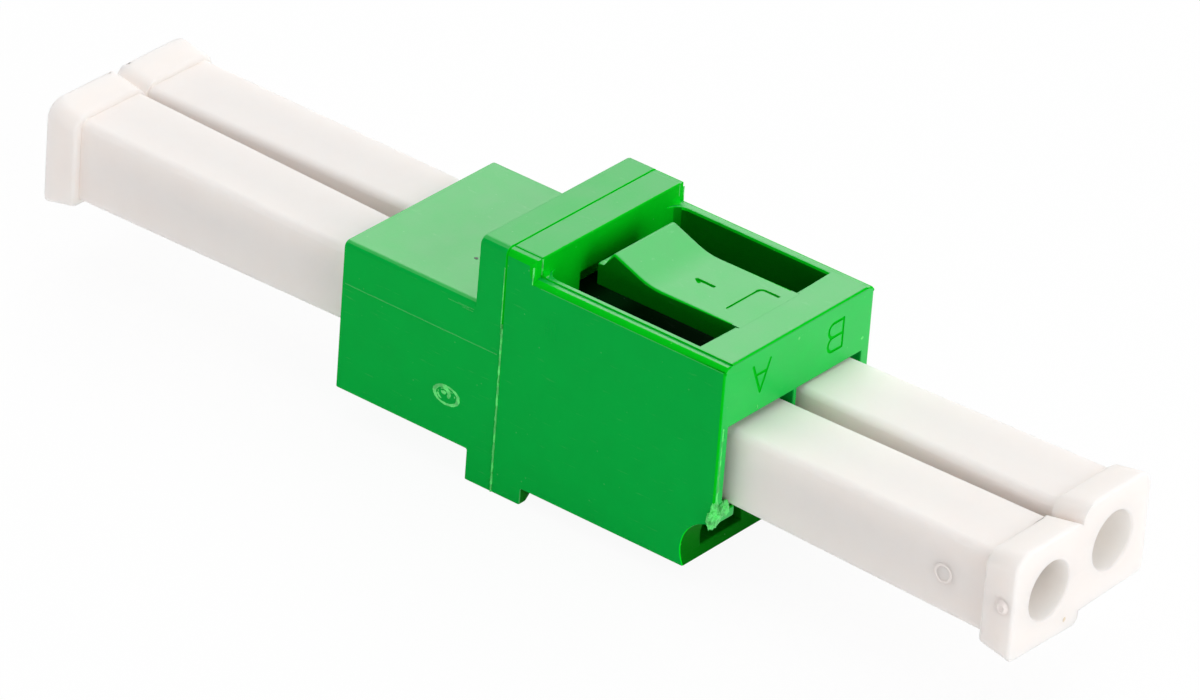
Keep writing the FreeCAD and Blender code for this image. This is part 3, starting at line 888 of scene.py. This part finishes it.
    def in_letters(self, point):
        """Is a point near a port letter?"""
        return point.x > FRONT_FACE - self.letter_zone and any(
            abs(point.y - y) < LETTER_ROOM and abs(point.z - z) < LETTER_ROOM
            for y, z in LETTER_PLACES.values())

    def front_edge(self, point):
        """Is an edge on the upright corners or the top edge of the front?"""
        at_rim = abs(point.y) > SIDE - NEAR or point.z > RAIL_TOP - NEAR
        return point.x > FRONT_FACE - NEAR and at_rim

    def kept_edge(self, point):
        """Does an edge stay as it is, at the seam, the letters, the stepped corner or under the lips?"""
        back, front = self.corner_zone
        high_side = abs(point.y) > SIDE - self.corner_width and point.z > RAIL_TOP - self.corner_height
        near, far = self.lip_zone
        under_lip = NEAR < point.x < LATCH_ROOT.x and SIDE - far < abs(point.y) < SIDE - near
        at_corner = back < point.x < front and high_side
        return near_seam(point) or self.in_letters(point) or at_corner or under_lip

    def on_front(self, middle, normal):
        """Is a face part of the front skin?"""
        return middle.x > FRONT_FACE - SKIN and normal.x > TURNED

    def in_strokes(self, middle, normal):
        """Is a face part of a sunk letter?"""
        return self.in_letters(middle) and middle.x < FRONT_FACE - self.letter_floor

    def on_front_corner(self, middle, normal):
        """Is a face part of the rounded upright corners of the front?"""
        at_corner = middle.x > FRONT_FACE - SKIN and abs(middle.y) > SIDE - SKIN
        return at_corner and ROUNDED < normal.x < STEEP and abs(normal.y) > ROUNDED

    def on_foot(self, middle, normal):
        """Is a face part of the foot under the front?"""
        low = middle.x > FRONT_FACE - self.foot_length and middle.z < self.foot_height
        return low and abs(normal.y) < FACING

    def in_cove(self, middle, normal):
        """Is a face part of the foot behind its front?"""
        return self.on_foot(middle, normal) and middle.x < FRONT_FACE - self.foot_skin

    def in_pocket(self, middle, normal):
        """Is a face inside the latch pocket?"""
        inside = self.pocket_start < middle.x < LATCH_ROOT.x and abs(middle.y) < SIDE - self.pocket_side
        return inside and self.pocket_low < middle.z < RAIL_TOP - self.pocket_crest

    def in_keyway(self, middle, normal):
        """Is a face inside the keyways under the ports?"""
        inside = middle.x < FRONT_FACE - self.foot_skin and abs(middle.y) < SIDE - self.keyway_side
        return inside and FOOT + self.sole < middle.z < self.keyway_top

    def on_pocket_floor(self, middle, normal):
        """Is a face part of the floor of the latch pocket?"""
        return self.in_pocket(middle, normal) and normal.z > LEVEL

    def on_thin_edge(self, middle, normal):
        """Is a face part of the stepped edges, the front of the flange or the top edge of the band?"""
        high_side = abs(middle.y) > SIDE - self.step_width and middle.z > RAIL_TOP - self.step_height
        stepped = high_side and abs(normal.y) > ROUNDED and normal.z < CREST
        stepped = stepped and not abs(middle.y) > SIDE - self.wall_skin
        flange = abs(middle.x) < self.flange_front and normal.x > ROUNDED and middle.z > self.pocket_low
        band = middle.x > FRONT_FACE - SKIN and normal.z > ROUNDED and ROUNDED < normal.x < STEEP
        return stepped or flange or band

    def execute(self, context):
        sizes, steps = context.scene.adapter_housing, context.scene.adapter_steps
        cutters = self.step_cutters(steps) + self.letter_cutters(sizes)
        solid = engrave(solid_copy("front_housing"), cutters)

        def rail_crest(point):
            outer = abs(abs(point.y) - SIDE + steps.rail_inset / MM) < 2 * NEAR
            return NEAR < point.x < FRONT_FACE - NEAR and abs(point.z - RAIL_TOP) < NEAR and outer

        def plain_edge(point):
            return not (self.kept_edge(point) or self.front_edge(point) or rail_crest(point))

        round_edges(solid, sizes.corner_round / MM, self.front_edge, 3)
        round_edges(solid, sizes.edge_round / MM, plain_edge)
        round_edges(solid, sizes.crest_round / MM, rail_crest)
        # Many of these patches paint light and shade: the front band brighter, the flange top a little
        # darker, the letters, seam groove, cove and thin edges brighter, the foot, pocket and keyways
        # darker.
        patches = (
            (wall_green(), on_side_wall),
            (flange_green(), on_flange_top),
            (front_green(), self.on_front),
            (sunk_green(), self.in_strokes),
            (edge_green(), self.on_front_corner),
            (turn_green(), self.on_foot),
            (rim_green(), self.in_cove),
            (sunk_green(), in_seam_groove),
            (pocket_green(), self.in_pocket),
            (pocket_green(), self.in_keyway),
            (deep_green(), self.on_pocket_floor),
            (edge_green(), self.on_thin_edge),
        )
        place_piece("front_moulding", solid, green_moulding(), replaced="front_housing", patches=patches)
        # The walls of the lips are painted dark as shade, bright just below the rim as painted light, half
        # shaded where they turn towards the front and bright where they face it.
        rim = RAIL_TOP - self.painted_rim_height
        painted_lip_light_and_shade = (
            (pocket_green(), lambda middle, normal: normal.z < TURNED),
            (rim_green(), lambda middle, normal: normal.z < 0.8 and middle.z > rim),
            (turn_green(), lambda middle, normal: normal.z < TURNED and normal.x > 0.45),
            (edge_green(), lambda middle, normal: normal.z < TURNED and normal.x > 0.8),
        )
        for end, side in (("near", -1), ("far", 1)):
            lip = self.pocket_lip(side, steps.pocket_radius / MM)
            place_piece(f"pocket_lip_{end}", lip, green_moulding(), patches=painted_lip_light_and_shade)
        return {"FINISHED"}


class ADAPTER_OT_rear_half(bpy.types.Operator):
    """Rear moulding"""

    bl_idname = "adapter.rear_half"
    bl_label = "Rear half"

    def execute(self, context):
        sizes = context.scene.adapter_housing
        solid = solid_copy("rear_housing")
        round_edges(solid, sizes.edge_round / MM, lambda point: not near_seam(point))
        # The top of the flange is painted a little darker as shade, and the seam groove brighter.
        patches = (
            (wall_green(), on_side_wall),
            (flange_green(), on_flange_top),
            (sunk_green(), in_seam_groove),
        )
        place_piece("rear_moulding", solid, green_moulding(), replaced="rear_housing", patches=patches)
        return {"FINISHED"}


class ADAPTER_OT_latch_tongue(bpy.types.Operator):
    """Latch tongue with its sunk marks"""

    bl_idname = "adapter.latch_tongue"
    bl_label = "Latch tongue"

    # Places of the figure one and of the open frame on the flat of the tongue.
    digit_start = 6.53
    digit_end = 7.74
    digit_y = -0.1
    digit_flag = 0.3
    flag_lean = 0.8
    frame_start = 9.86
    frame_gap = 0.12
    frame_near = -1.52
    frame_far = 1.67
    frame_corner = 0.35
    # Zones round the marks and along the edges.
    mark_room = 0.5
    mark_side = 0.2
    mark_low = 6.8
    flat_depth = 0.2
    rim_drop = 0.1
    tip_length = 0.3
    # Skin over the root.
    skin_steps = (-0.3, -0.2, -0.1, 0, 0.1, 0.2, 0.3)
    skin_height = 0.004

    def mark_paths(self):
        """Paths of the figure one and of the open frame, each with its share of the stroke's width."""
        digit = [(self.digit_start, self.digit_y), (self.digit_end, self.digit_y)]
        flag = [
            (self.digit_start, self.digit_y),
            (self.digit_start + self.digit_flag, self.digit_y - self.flag_lean * self.digit_flag),
        ]
        corner = self.frame_corner
        leg = [(self.frame_start, self.frame_near), (self.frame_start, self.frame_far - corner)]
        arm = arc((self.frame_start + corner, self.frame_far - corner), corner, 180, 90, CORNER_STEPS)
        arm += [(LATCH_ROOT.x - self.frame_gap, self.frame_far)]
        return (digit, 1.3), (flag, 1.2), (leg, 0.8), (arm, 1.15)

    def outer_edge(self, point):
        """Is an edge on the outline of the tongue, ahead of its root?"""
        on_top = point.z > RAIL_TOP - self.flat_depth and point.x > self.digit_start - self.mark_room
        on_rim = abs(point.y) > LATCH_HIGH.y - NEAR
        return point.x < LATCH_ROOT.x - BEAD_RADIUS and (on_rim or not on_top)

    def top_rim(self, point):
        """Is an edge on the long sides of the top?"""
        at_side = abs(point.y) > LATCH_HIGH.y - NEAR and point.z > RAIL_TOP - self.rim_drop
        return at_side and LATCH_LOW.x + self.tip_length < point.x < LATCH_ROOT.x - BEAD_RADIUS

    def in_marks(self, middle, normal):
        """Is a face on the floor or the walls of the sunk marks?"""
        along = self.digit_start - self.mark_room < middle.x < LATCH_ROOT.x
        across = abs(middle.y) < self.frame_far + self.mark_side
        return along and across and self.mark_low < middle.z < RAIL_TOP - NEAR

    def execute(self, context):
        sizes = context.scene.adapter_housing
        plane = plane_at((0, 0, RAIL_TOP), (1, 0, 0), (0, 1, 0))
        cutters = [
            stroke_cutter(path, share * sizes.mark_stroke / MM, share * sizes.mark_depth / MM, plane)
            for path, share in self.mark_paths()
        ]
        solid = engrave(solid_copy("panel_latch"), cutters)
        round_edges(solid, sizes.tongue_round / MM, self.top_rim, 3)
        round_edges(
            solid, sizes.edge_round / MM, lambda point: self.outer_edge(point) and not self.top_rim(point))
        # The sides and underside of the tongue are painted dark as shade, its rounded top edges bright as a
        # painted highlight, and its sunk marks brighter.
        rim = LATCH_HIGH.y - SKIN
        patches = (
            (pocket_green(), lambda middle, normal: abs(middle.y) > rim and abs(normal.y) > LEVEL),
            (pocket_green(), lambda middle, normal: abs(middle.y) > rim and normal.z < -0.05),
            (edge_green(), lambda middle, normal: TURNED < abs(normal.y) < 0.999 and normal.z > 0.02),
            (sunk_green(), self.in_marks),
        )
        place_piece(
            "latch_tongue", solid, green_moulding(), "latch", replaced="panel_latch", patches=patches)
        self.root_skin()
        return {"FINISHED"}

    def root_skin(self):
        """Thin skin over the bending root, where the tongue runs into the bar without a break."""
        low, high = -BURIED, self.skin_height
        section = ((LATCH_LOW.y, low), (LATCH_HIGH.y, low), (LATCH_HIGH.y, high), (LATCH_LOW.y, high))
        stations = [LATCH_ROOT.x + step for step in self.skin_steps]
        skin = bmesh.new()
        rows = [
            [skin.verts.new((x * MM, y * MM, (RAIL_TOP + z) * MM)) for y, z in section] for x in stations
        ]
        join_rows(skin, rows)
        piece = loose_object("root_skin", skin)
        piece.data.materials.append(green_moulding())
        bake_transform(piece)


class ADAPTER_OT_split_sleeves(bpy.types.Operator):
    """Finish of the two ceramic split sleeves"""

    bl_idname = "adapter.split_sleeves"
    bl_label = "Split sleeves"

    def execute(self, context):
        material = sleeve_ceramic()
        for name in ("sleeve_a", "sleeve_b"):
            node = frame["nodes"][name]
            node.data.materials.clear()
            node.data.materials.append(material)
        return {"FINISHED"}


class ADAPTER_OT_dust_caps(bpy.types.Operator):
    """Twin dust caps in both ends"""

    bl_idname = "adapter.dust_caps"
    bl_label = "Dust caps"

    head_length = 3.5
    hole_depth = 12
    hole_side = 2.97
    hole_room = 2.2
    notch_half = 0.75
    # Heights of the near and the far hole at each end.
    hole_heights = {"front": (-0.4, 0.4), "rear": (-0.08, -0.08)}

    def make_cap(self, end, corner, sizes):
        """Dust cap of one end, with the number of the outermost corner of its box."""
        node = f"{end}_dust_cap"
        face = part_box(node)[corner].x / MM
        centres = list(zip((-self.hole_side, self.hole_side), self.hole_heights[end]))
        solid = solid_copy(node)

        def in_hole(point):
            return min(math.hypot(point.y - y, point.z - z) for y, z in centres) < self.hole_room

        def hole_mouth(point):
            return abs(point.x - face) < NEAR and in_hole(point)

        def head_edge(point):
            on_head = abs(point.x - face) < self.head_length and not in_hole(point)
            return on_head and abs(point.y) > self.notch_half

        def in_bore(middle, normal):
            wall = in_hole(middle) and abs(normal.x) < 0.5
            return wall and abs(middle.x - face) < self.hole_depth

        round_edges(solid, sizes.hole_round / MM, hole_mouth, 3)
        round_edges(solid, sizes.face_round / MM, head_edge, 4)
        round_edges(solid, sizes.rim_round / MM, lambda point: abs(point.x - face) > self.head_length)
        place_piece(
            f"{end}_cap", solid, cap_white(), f"{end}_cap", node, ((painted_hole_glow_white(), in_bore),))

    def execute(self, context):
        sizes = context.scene.adapter_caps
        self.make_cap("front", 1, sizes)
        self.make_cap("rear", 0, sizes)
        return {"FINISHED"}


# Moulding flaws


def rough(share, seed, pitch):
    """Smooth wander between about -1 and 1 along a run."""
    return noise.noise(Vector((share * pitch, seed, 0.5 * seed)))


def shares(steps):
    """Even shares of a run, from nought to one."""
    return [step / steps for step in range(steps + 1)]


def even(size):
    """Size that stays the same along a run."""
    return lambda share: size


def wandering(size, sway, seed, pitch):
    """Size that wanders along a run."""
    return lambda share: size + sway * rough(share, seed, pitch)


def fading(size, reach):
    """Size that falls off along a run and would end at reach."""
    return lambda share: size * (reach - share)


def swell(distance, width):
    """Bell that is one at no distance and falls off over a width."""
    return math.exp(-(distance / width) ** 2)


def crumb(height, ripple, pitch, seed, fall):
    """Height of a small crumb as a function of the flat point."""
    def lift(x, y):
        return height + ripple * noise.noise(Vector((x * pitch, y * pitch, seed))) - fall * (x * x + y * y)
    return lift


def torn_lump(centre, reach, seed):
    """Crumpled ball of torn plastic."""
    lump = bmesh.new()
    bmesh.ops.create_icosphere(lump, subdivisions=4, radius=1)
    for vertex in lump.verts:
        ripple = noise.fractal(vertex.co * 2.2 + Vector((seed, 0, 0)), 0.6, 2.2, 4)
        vertex.co = Vector(centre) + Vector(
            radius * part * (1 + 0.34 * ripple) for radius, part in zip(reach, vertex.co))
    return lump


class ADAPTER_OT_seam_flash(bpy.types.Operator):
    """Flash along the welded seam and the mould's parting lines, with pale lines painted as highlights on
    the flange
    """

    bl_idname = "adapter.seam_flash"
    bl_label = "Seam flash"

    # Heights at which the heavy flash gives way to a thin lip, and of the parting line.
    burr_height = 2.9
    parting_height = 1.05
    foot_gap = 0.04
    lip_gap = 0.1
    lip_offset = -0.1
    whiskers = 7
    whisker_low = 0.45
    whisker_pitch = 0.11
    # Short pale lips, painted as highlights, up the corner of the flange and up its step, and the line below
    # the rounded rail.
    corner_offset = 0.17
    corner_low = 0.4
    corner_rise = 1.1
    step_side = 0.67
    step_low = 0.06
    step_rise = 1.06
    shoulder_drop = 0.41

    def upright(self, along, seed, start, stop, offset, sway):
        """Path up the seam from one height to another."""
        return [
            (along * offset + sway * rough(share, seed, 30), start + (stop - start) * share)
            for share in shares(180)
        ]

    def flash_lines(self, end, along, seed, side):
        """Heavy flash and thin lip on the seam, with whiskers where they meet."""
        flash = self.upright(along, seed, FOOT + self.foot_gap, self.burr_height, 0, 0.018)
        half, height = wandering(0.058, 0.03, seed + 1, 55), wandering(0.06, 0.05, seed + 2, 26)
        place_piece(f"seam_flash_{end}", ridge(side, flash, half, height), torn_green())
        lip = self.upright(along, seed, self.burr_height, RAIL_TOP - self.lip_gap, self.lip_offset, 0.006)
        height = wandering(0.022, 0.01, seed + 3, 20)
        place_piece(f"seam_lip_{end}", ridge(side, lip, even(0.028), height), torn_green())
        for index in range(self.whiskers):
            foot = self.burr_height - self.whisker_low + self.whisker_pitch * index
            length = along * (0.13 + 0.07 * rough(index, seed + 4, 0.7))
            path = [(0, foot), (-length / 2, foot + 0.03), (-length, foot + 0.09)]
            whisker = ridge(side, path, fading(0.03, 1.1), fading(0.05, 1.15))
            place_piece(f"seam_whisker_{end}_{index}", whisker, torn_green())

    def mould_lines(self, end, along, seed, side):
        """Parting line of the rear half, thin lips on the flange painted pale as highlights, and a thin line
        below the rail.
        """
        length = along * (REAR_LOW.x - SEAM)
        parting = [
            (length * share, self.parting_height + 0.012 * rough(share, seed, 16))
            for share in (0.02 + 0.96 * step for step in shares(90))
        ]
        height = wandering(0.014, 0.012, seed + 5, 40)
        place_piece(f"parting_line_{end}", ridge(side, parting, even(0.03), height), green_moulding())
        seat = along * (-SEAM - self.corner_offset)
        corner = [(seat, RAIL_TOP - self.corner_low + self.corner_rise * share) for share in shares(20)]
        place_piece(f"corner_lip_{end}", ridge(side, corner, even(0.03), even(0.014)), torn_green())
        face = plane_at((0, 0, 0), (0, 1, 0), (0, 0, 1))
        y = -along * (SIDE - self.step_side)
        step = [(y, RAIL_TOP + self.step_low + self.step_rise * share) for share in shares(20)]
        place_piece(f"step_lip_{end}", ridge(face, step, even(0.03), even(0.014)), torn_green())
        reach = along * (FRONT_FACE - SEAM)
        path = [(reach * (0.16 + 0.83 * share), RAIL_TOP - self.shoulder_drop) for share in shares(60)]
        shoulder = ridge(side, path, even(0.025), even(0.012))
        place_piece(f"shoulder_line_{end}", shoulder, green_moulding())

    def execute(self, context):
        for end, along in (("near", 1), ("far", -1)):
            seed = 3.1 + along
            side = plane_at((SEAM, -along * SIDE, 0), (along, 0, 0), (0, 0, 1))
            self.flash_lines(end, along, seed, side)
            self.mould_lines(end, along, seed, side)
        return {"FINISHED"}


class ADAPTER_OT_mould_scars(bpy.types.Operator):
    """Gate scars, torn corner, specks and scratches"""

    bl_idname = "adapter.mould_scars"
    bl_label = "Mould scars"

    # Places along X and Z on the near side, and the reach of the patches.
    scar_place = (-5.92, -3.2)
    scar_reach = (1.2, 0.8)
    rib_place = (1.38, 4.3)
    scratch_place = (-5.3, 3.2)
    gate_place = (34.24, -0.38)
    ejector_place = (29.6, -0.45)
    # Torn lumps: their centres and reaches.
    lobes = (
        ((14.04, -6.86, -3.05), (0.34, 0.44, 0.66)),
        ((14.10, -6.45, -2.75), (0.28, 0.42, 0.5)),
        ((14.02, -5.98, -2.78), (0.3, 0.42, 0.52)),
        ((14.06, -6.82, -2.35), (0.2, 0.24, 0.42)),
    )
    # Specks of the front band: their places along Y and Z and their reaches.
    band_specks = {
        "band_speck_a": ((-0.13, 6.26), (0.13, 0.1)),
        "band_speck_b": ((6.17, 3.72), (0.16, 0.1)),
        "band_speck_c": ((-3.66, 3.15), (0.08, 0.14)),
    }
    # Scratches below the top edge of the rear half: start, end and height.
    scratches = ((-0.95, 0.6, 0.02), (-0.2, 1.0, 0.1), (0.1, 0.95, -0.08))
    # Date ribs: how many, the place of the first, their pitch and their half length.
    ribs = 4
    first_rib = -0.39
    rib_pitch = 0.26
    rib_half = 0.62
    # Distance from the middle of the part at which the rays start that find these places.
    outside = 30

    def near_side(self, node, place):
        """Plane on the near side of a node at a place along X and Z."""
        x, z = place
        return plane_on(node, (x, -self.outside, z), (0, 1, 0), (0, 0, 1))

    def gate_scar(self):
        """Broken ring with a torn crescent in it, on the near side of the rear half."""
        def height(x, y):
            reach, turn = math.hypot(x / 1.22, y / 0.8), math.atan2(y, x)
            ring = 0.05 * swell(reach - 0.74, 0.1) * (0.8 + 0.6 * rough(turn, 5.3, 1.5))
            inner = 0.04 * swell(reach - 0.52, 0.07) * max(0, rough(turn, 8.1, 0.9) + 0.25)
            arm = math.hypot(x + 0.1, y - 0.1)
            crescent = 0.09 * swell(arm - 0.3, 0.1) * max(0.0, math.cos(turn - 0.6)) ** 0.7
            stub = 0.07 * swell(x + 0.22, 0.16) * swell(y - 0.12, 0.1)
            crumbs = 0.012 * noise.noise(Vector((x * 7, y * 7, 2.0)))
            return ring + inner + crescent + stub + crumbs - 0.016
        plane = self.near_side("rear_housing", self.scar_place)
        place_piece("gate_scar", relief(plane, self.scar_reach, height, 34, 72), torn_green())

    def corner_tear(self):
        """Flash down the near front corner that ends in a torn lump over the cove."""
        face = plane_at((FRONT_FACE, 0, 0), (0, 1, 0), (0, 0, 1))
        path = [
            (-6.72 - 0.1 * share + 0.06 * rough(share, 2.2, 9), 2.9 - 5.3 * share) for share in shares(90)
        ]
        flash = ridge(
            face, path, lambda share: 0.035 + 0.07 * abs(rough(share, 6.4, 11)) + 0.04 * share ** 4,
            lambda share: max(0.004, 0.02 + 0.14 * rough(share, 9.7, 13) + 0.06 * share ** 3))
        place_piece("corner_flash", flash, torn_green())
        for index, (centre, reach) in enumerate(self.lobes):
            place_piece(f"corner_lump_{index}", torn_lump(centre, reach, 4.0 * index), torn_green())

    def specks(self):
        """Crumbs and small ticks on the band, the tongue and the top of the rear half."""
        shape = crumb(0.035, 0.05, 9, 1.0, 0.9)
        for name, ((y, z), reach) in self.band_specks.items():
            plane = plane_on("front_housing", (self.outside, y, z), (-1, 0, 0), (0, 0, 1))
            place_piece(name, relief(plane, reach, shape, 8, 24), torn_green())
        tip = plane_on("panel_latch", (1.5, -2.5, self.outside), (0, 0, -1), (0, 1, 0))
        place_piece("tongue_chip", relief(tip, (0.2, 0.22), shape, 8, 24), torn_green(), "latch")
        rear_top = plane_on("rear_housing", (-7.5, -3.0, self.outside), (0, 0, -1), (0, 1, 0))
        place_piece("grey_speck", relief(rear_top, (0.16, 0.12), shape, 8, 24), dirt_grey())

    def side_marks(self):
        """Faint ribs of a date mark and scratches below the top edge of the rear half."""
        plane = self.near_side("front_housing", self.rib_place)
        for index in range(self.ribs):
            x = self.first_rib + self.rib_pitch * index
            line = [
                (x + 0.015 * rough(step, index, 0.4), -self.rib_half + self.rib_half / 4 * step)
                for step in range(9)
            ]
            rib = ridge(plane, line, even(0.03), even(0.012))
            place_piece(f"date_rib_{index}", rib, wall_green())
        plane = self.near_side("rear_housing", self.scratch_place)
        for index, (start, stop, height) in enumerate(self.scratches):
            line = [
                (start + (stop - start) * step / 24, height + 0.03 * rough(step, index + 1.5, 0.3))
                for step in range(25)
            ]
            scratch = ridge(plane, line, even(0.022), even(0.014))
            place_piece(f"edge_scratch_{index}", scratch, green_moulding())

    def cap_marks(self):
        """Gate button, ejector ring and a stray fleck on the front cap."""
        def button(x, y):
            reach = math.hypot(x, y)
            return 0.15 * swell(reach - 0.26, 0.13) + 0.08 * swell(reach, 0.24) - 0.012

        def ring(x, y):
            return 0.026 * swell(math.hypot(x, y) - 0.55, 0.07) - 0.004

        node = "front_dust_cap"
        gate = relief(self.near_side(node, self.gate_place), (0.55, 0.55), button, 18, 48)
        place_piece("cap_gate", gate, mark_white(), "front_cap")
        ejector = relief(self.near_side(node, self.ejector_place), (0.72, 0.72), ring, 24, 60)
        place_piece("cap_ejector", ejector, mark_white(), "front_cap")
        face = plane_on(node, (2 * self.outside, -1.17, -3.1), (-1, 0, 0), (0, 0, 1))
        fleck = relief(face, (0.15, 0.2), crumb(0.02, 0.02, 8, 4.0, 0.8), 8, 24)
        place_piece("cap_fleck", fleck, tan_fleck(), "front_cap")

    def execute(self, context):
        self.gate_scar()
        self.corner_tear()
        self.specks()
        self.side_marks()
        self.cap_marks()
        return {"FINISHED"}


class ADAPTER_OT_stage(bpy.types.Operator):
    """Pale floor, soft light and the camera"""

    bl_idname = "adapter.stage"
    bl_label = "Stage"

    floor_size = 8
    floor_glow = 0.94
    softbox_reach = 1.3
    film_width = 36
    # Azimuth and elevation in degrees, and width and height in metres.
    softboxes = {
        "back": (203, 37, 1.25, 0.85),
        "top": (150, 78, 1.2, 1.2),
        "side": (-20, 3, 1.8, 0.3),
        "fill": (-30, 55, 1.2, 1.2),
        "front": (84, 17, 1.0, 1.0),
    }

    def shown_ray(self, nodes):
        """Socket that is one for rays that show the background: camera, glossy and transmission."""
        path = nodes.add("ShaderNodeLightPath")
        glossy = nodes.add(
            "ShaderNodeMath",
            {0: path.outputs["Is Camera Ray"], 1: path.outputs["Is Glossy Ray"]}, operation="MAXIMUM")
        shown = nodes.add(
            "ShaderNodeMath",
            {0: glossy.outputs[0], 1: path.outputs["Is Transmission Ray"]}, operation="MAXIMUM")
        return shown.outputs[0]

    def make_world(self, context):
        """White to look at, and a plain grey as light from all round."""
        world = bpy.data.worlds.new("pale_room")
        context.scene.world = world
        world.use_nodes = True
        nodes = Nodes(world.node_tree)
        background = world.node_tree.nodes["Background"]
        level = context.scene.adapter_stage.room_level
        strength = nodes.add(
            "ShaderNodeMapRange", {"Value": self.shown_ray(nodes), "To Min": level, "To Max": 1.0})
        background.inputs["Color"].default_value = (1, 1, 1, 1)
        world.node_tree.links.new(strength.outputs["Result"], background.inputs["Strength"])

    def make_floor(self, context):
        """Wide floor under the feet that keeps a faint shadow."""
        bpy.ops.mesh.primitive_plane_add(size=self.floor_size, location=(0, 0, FOOT * MM))
        floor = context.object
        floor.name = "floor"
        material = bpy.data.materials.new("pale_floor")
        material.use_nodes = True
        tree = material.node_tree
        nodes = Nodes(tree)
        shader = tree.nodes["Principled BSDF"]
        shader.inputs["Base Color"].default_value = (*context.scene.adapter_finishes.floor, 1)
        shader.inputs["Roughness"].default_value = 0.9
        shader.inputs["Specular IOR Level"].default_value = 0.0
        glow = nodes.add("ShaderNodeEmission", {"Color": (1, 1, 1, 1), "Strength": 1.0})
        share = nodes.add(
            "ShaderNodeMath", {0: self.shown_ray(nodes), 1: self.floor_glow}, operation="MULTIPLY")
        mixed = nodes.add(
            "ShaderNodeMixShader", {0: share.outputs[0], 1: shader.outputs[0], 2: glow.outputs[0]})
        tree.links.new(mixed.outputs[0], tree.nodes["Material Output"].inputs["Surface"])
        floor.data.materials.append(material)

    def make_softbox(self, context, name, azimuth, elevation, width, height):
        """Softbox that faces the part, with its own brightness and tint."""
        stage = context.scene.adapter_stage
        bearing, rise = math.radians(azimuth), math.radians(elevation)
        away = Vector((
            math.sin(bearing) * math.cos(rise), -math.cos(bearing) * math.cos(rise), math.sin(rise)))
        lamp = bpy.data.lights.new(f"{name}_softbox", "AREA")
        lamp.shape = "RECTANGLE"
        lamp.size, lamp.size_y = width, height
        lamp.energy = getattr(stage, f"{name}_level") * math.pi * width * height
        lamp.color = getattr(stage, f"{name}_tint", (1, 1, 1))
        item = bpy.data.objects.new(f"{name}_softbox", lamp)
        item.location = away * self.softbox_reach
        item.rotation_euler = away.to_track_quat("Z", "Y").to_euler()
        context.scene.collection.objects.link(item)

    def make_camera(self, context):
        """Camera at the photograph's viewing angle."""
        stage = context.scene.adapter_stage
        lens = bpy.data.cameras.new("camera")
        lens.sensor_fit = "HORIZONTAL"
        lens.sensor_width = self.film_width
        lens.lens = stage.focal_length
        turn = Euler((math.pi / 2 - stage.elevation, 0, stage.azimuth)).to_matrix()
        turn = turn @ Matrix.Rotation(stage.roll, 3, "Z")
        camera = bpy.data.objects.new("camera", lens)
        camera.rotation_euler = turn.to_euler()
        camera.location = Vector(stage.target) + turn @ Vector((0, 0, stage.distance))
        context.scene.collection.objects.link(camera)
        context.scene.camera = camera

    def execute(self, context):
        context.scene.view_settings.view_transform = "Standard"
        self.make_world(context)
        self.make_floor(context)
        for name, place in self.softboxes.items():
            self.make_softbox(context, name, *place)
        self.make_camera(context)
        return {"FINISHED"}


class ADAPTER_PT_panel(bpy.types.Panel):
    """Lists the steps in the sidebar"""

    bl_label = "Duplex fibre adapter"
    bl_idname = "ADAPTER_PT_panel"
    bl_space_type = "VIEW_3D"
    bl_region_type = "UI"
    bl_category = "Adapter"

    def draw(self, context):
        for step in STEPS:
            self.layout.operator(step.bl_idname)


STEPS = (
    ADAPTER_OT_front_half,
    ADAPTER_OT_rear_half,
    ADAPTER_OT_latch_tongue,
    ADAPTER_OT_split_sleeves,
    ADAPTER_OT_dust_caps,
    ADAPTER_OT_seam_flash,
    ADAPTER_OT_mould_scars,
    ADAPTER_OT_stage,
)
SETTINGS = {
    "adapter_housing": HousingSizes,
    "adapter_steps": StepSizes,
    "adapter_caps": CapSizes,
    "adapter_finishes": Finishes,
    "adapter_stage": StageSettings,
}


def register():
    """Register the settings, the steps and the panel."""
    for name, group in SETTINGS.items():
        bpy.utils.register_class(group)
        setattr(bpy.types.Scene, name, bpy.props.PointerProperty(type=group))
    for step in (*STEPS, ADAPTER_PT_panel):
        bpy.utils.register_class(step)


def unregister():
    """Take the panel, the steps and the settings away again."""
    for step in (ADAPTER_PT_panel, *reversed(STEPS)):
        bpy.utils.unregister_class(step)
    for name, group in SETTINGS.items():
        delattr(bpy.types.Scene, name)
        bpy.utils.unregister_class(group)


def main():
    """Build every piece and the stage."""
    register()
    moulded_grain_group()
    handling_group()
    for step in STEPS:
        family, name = step.bl_idname.split(".")
        getattr(getattr(bpy.ops, family), name)()


if __name__ == "__main__":
    main()
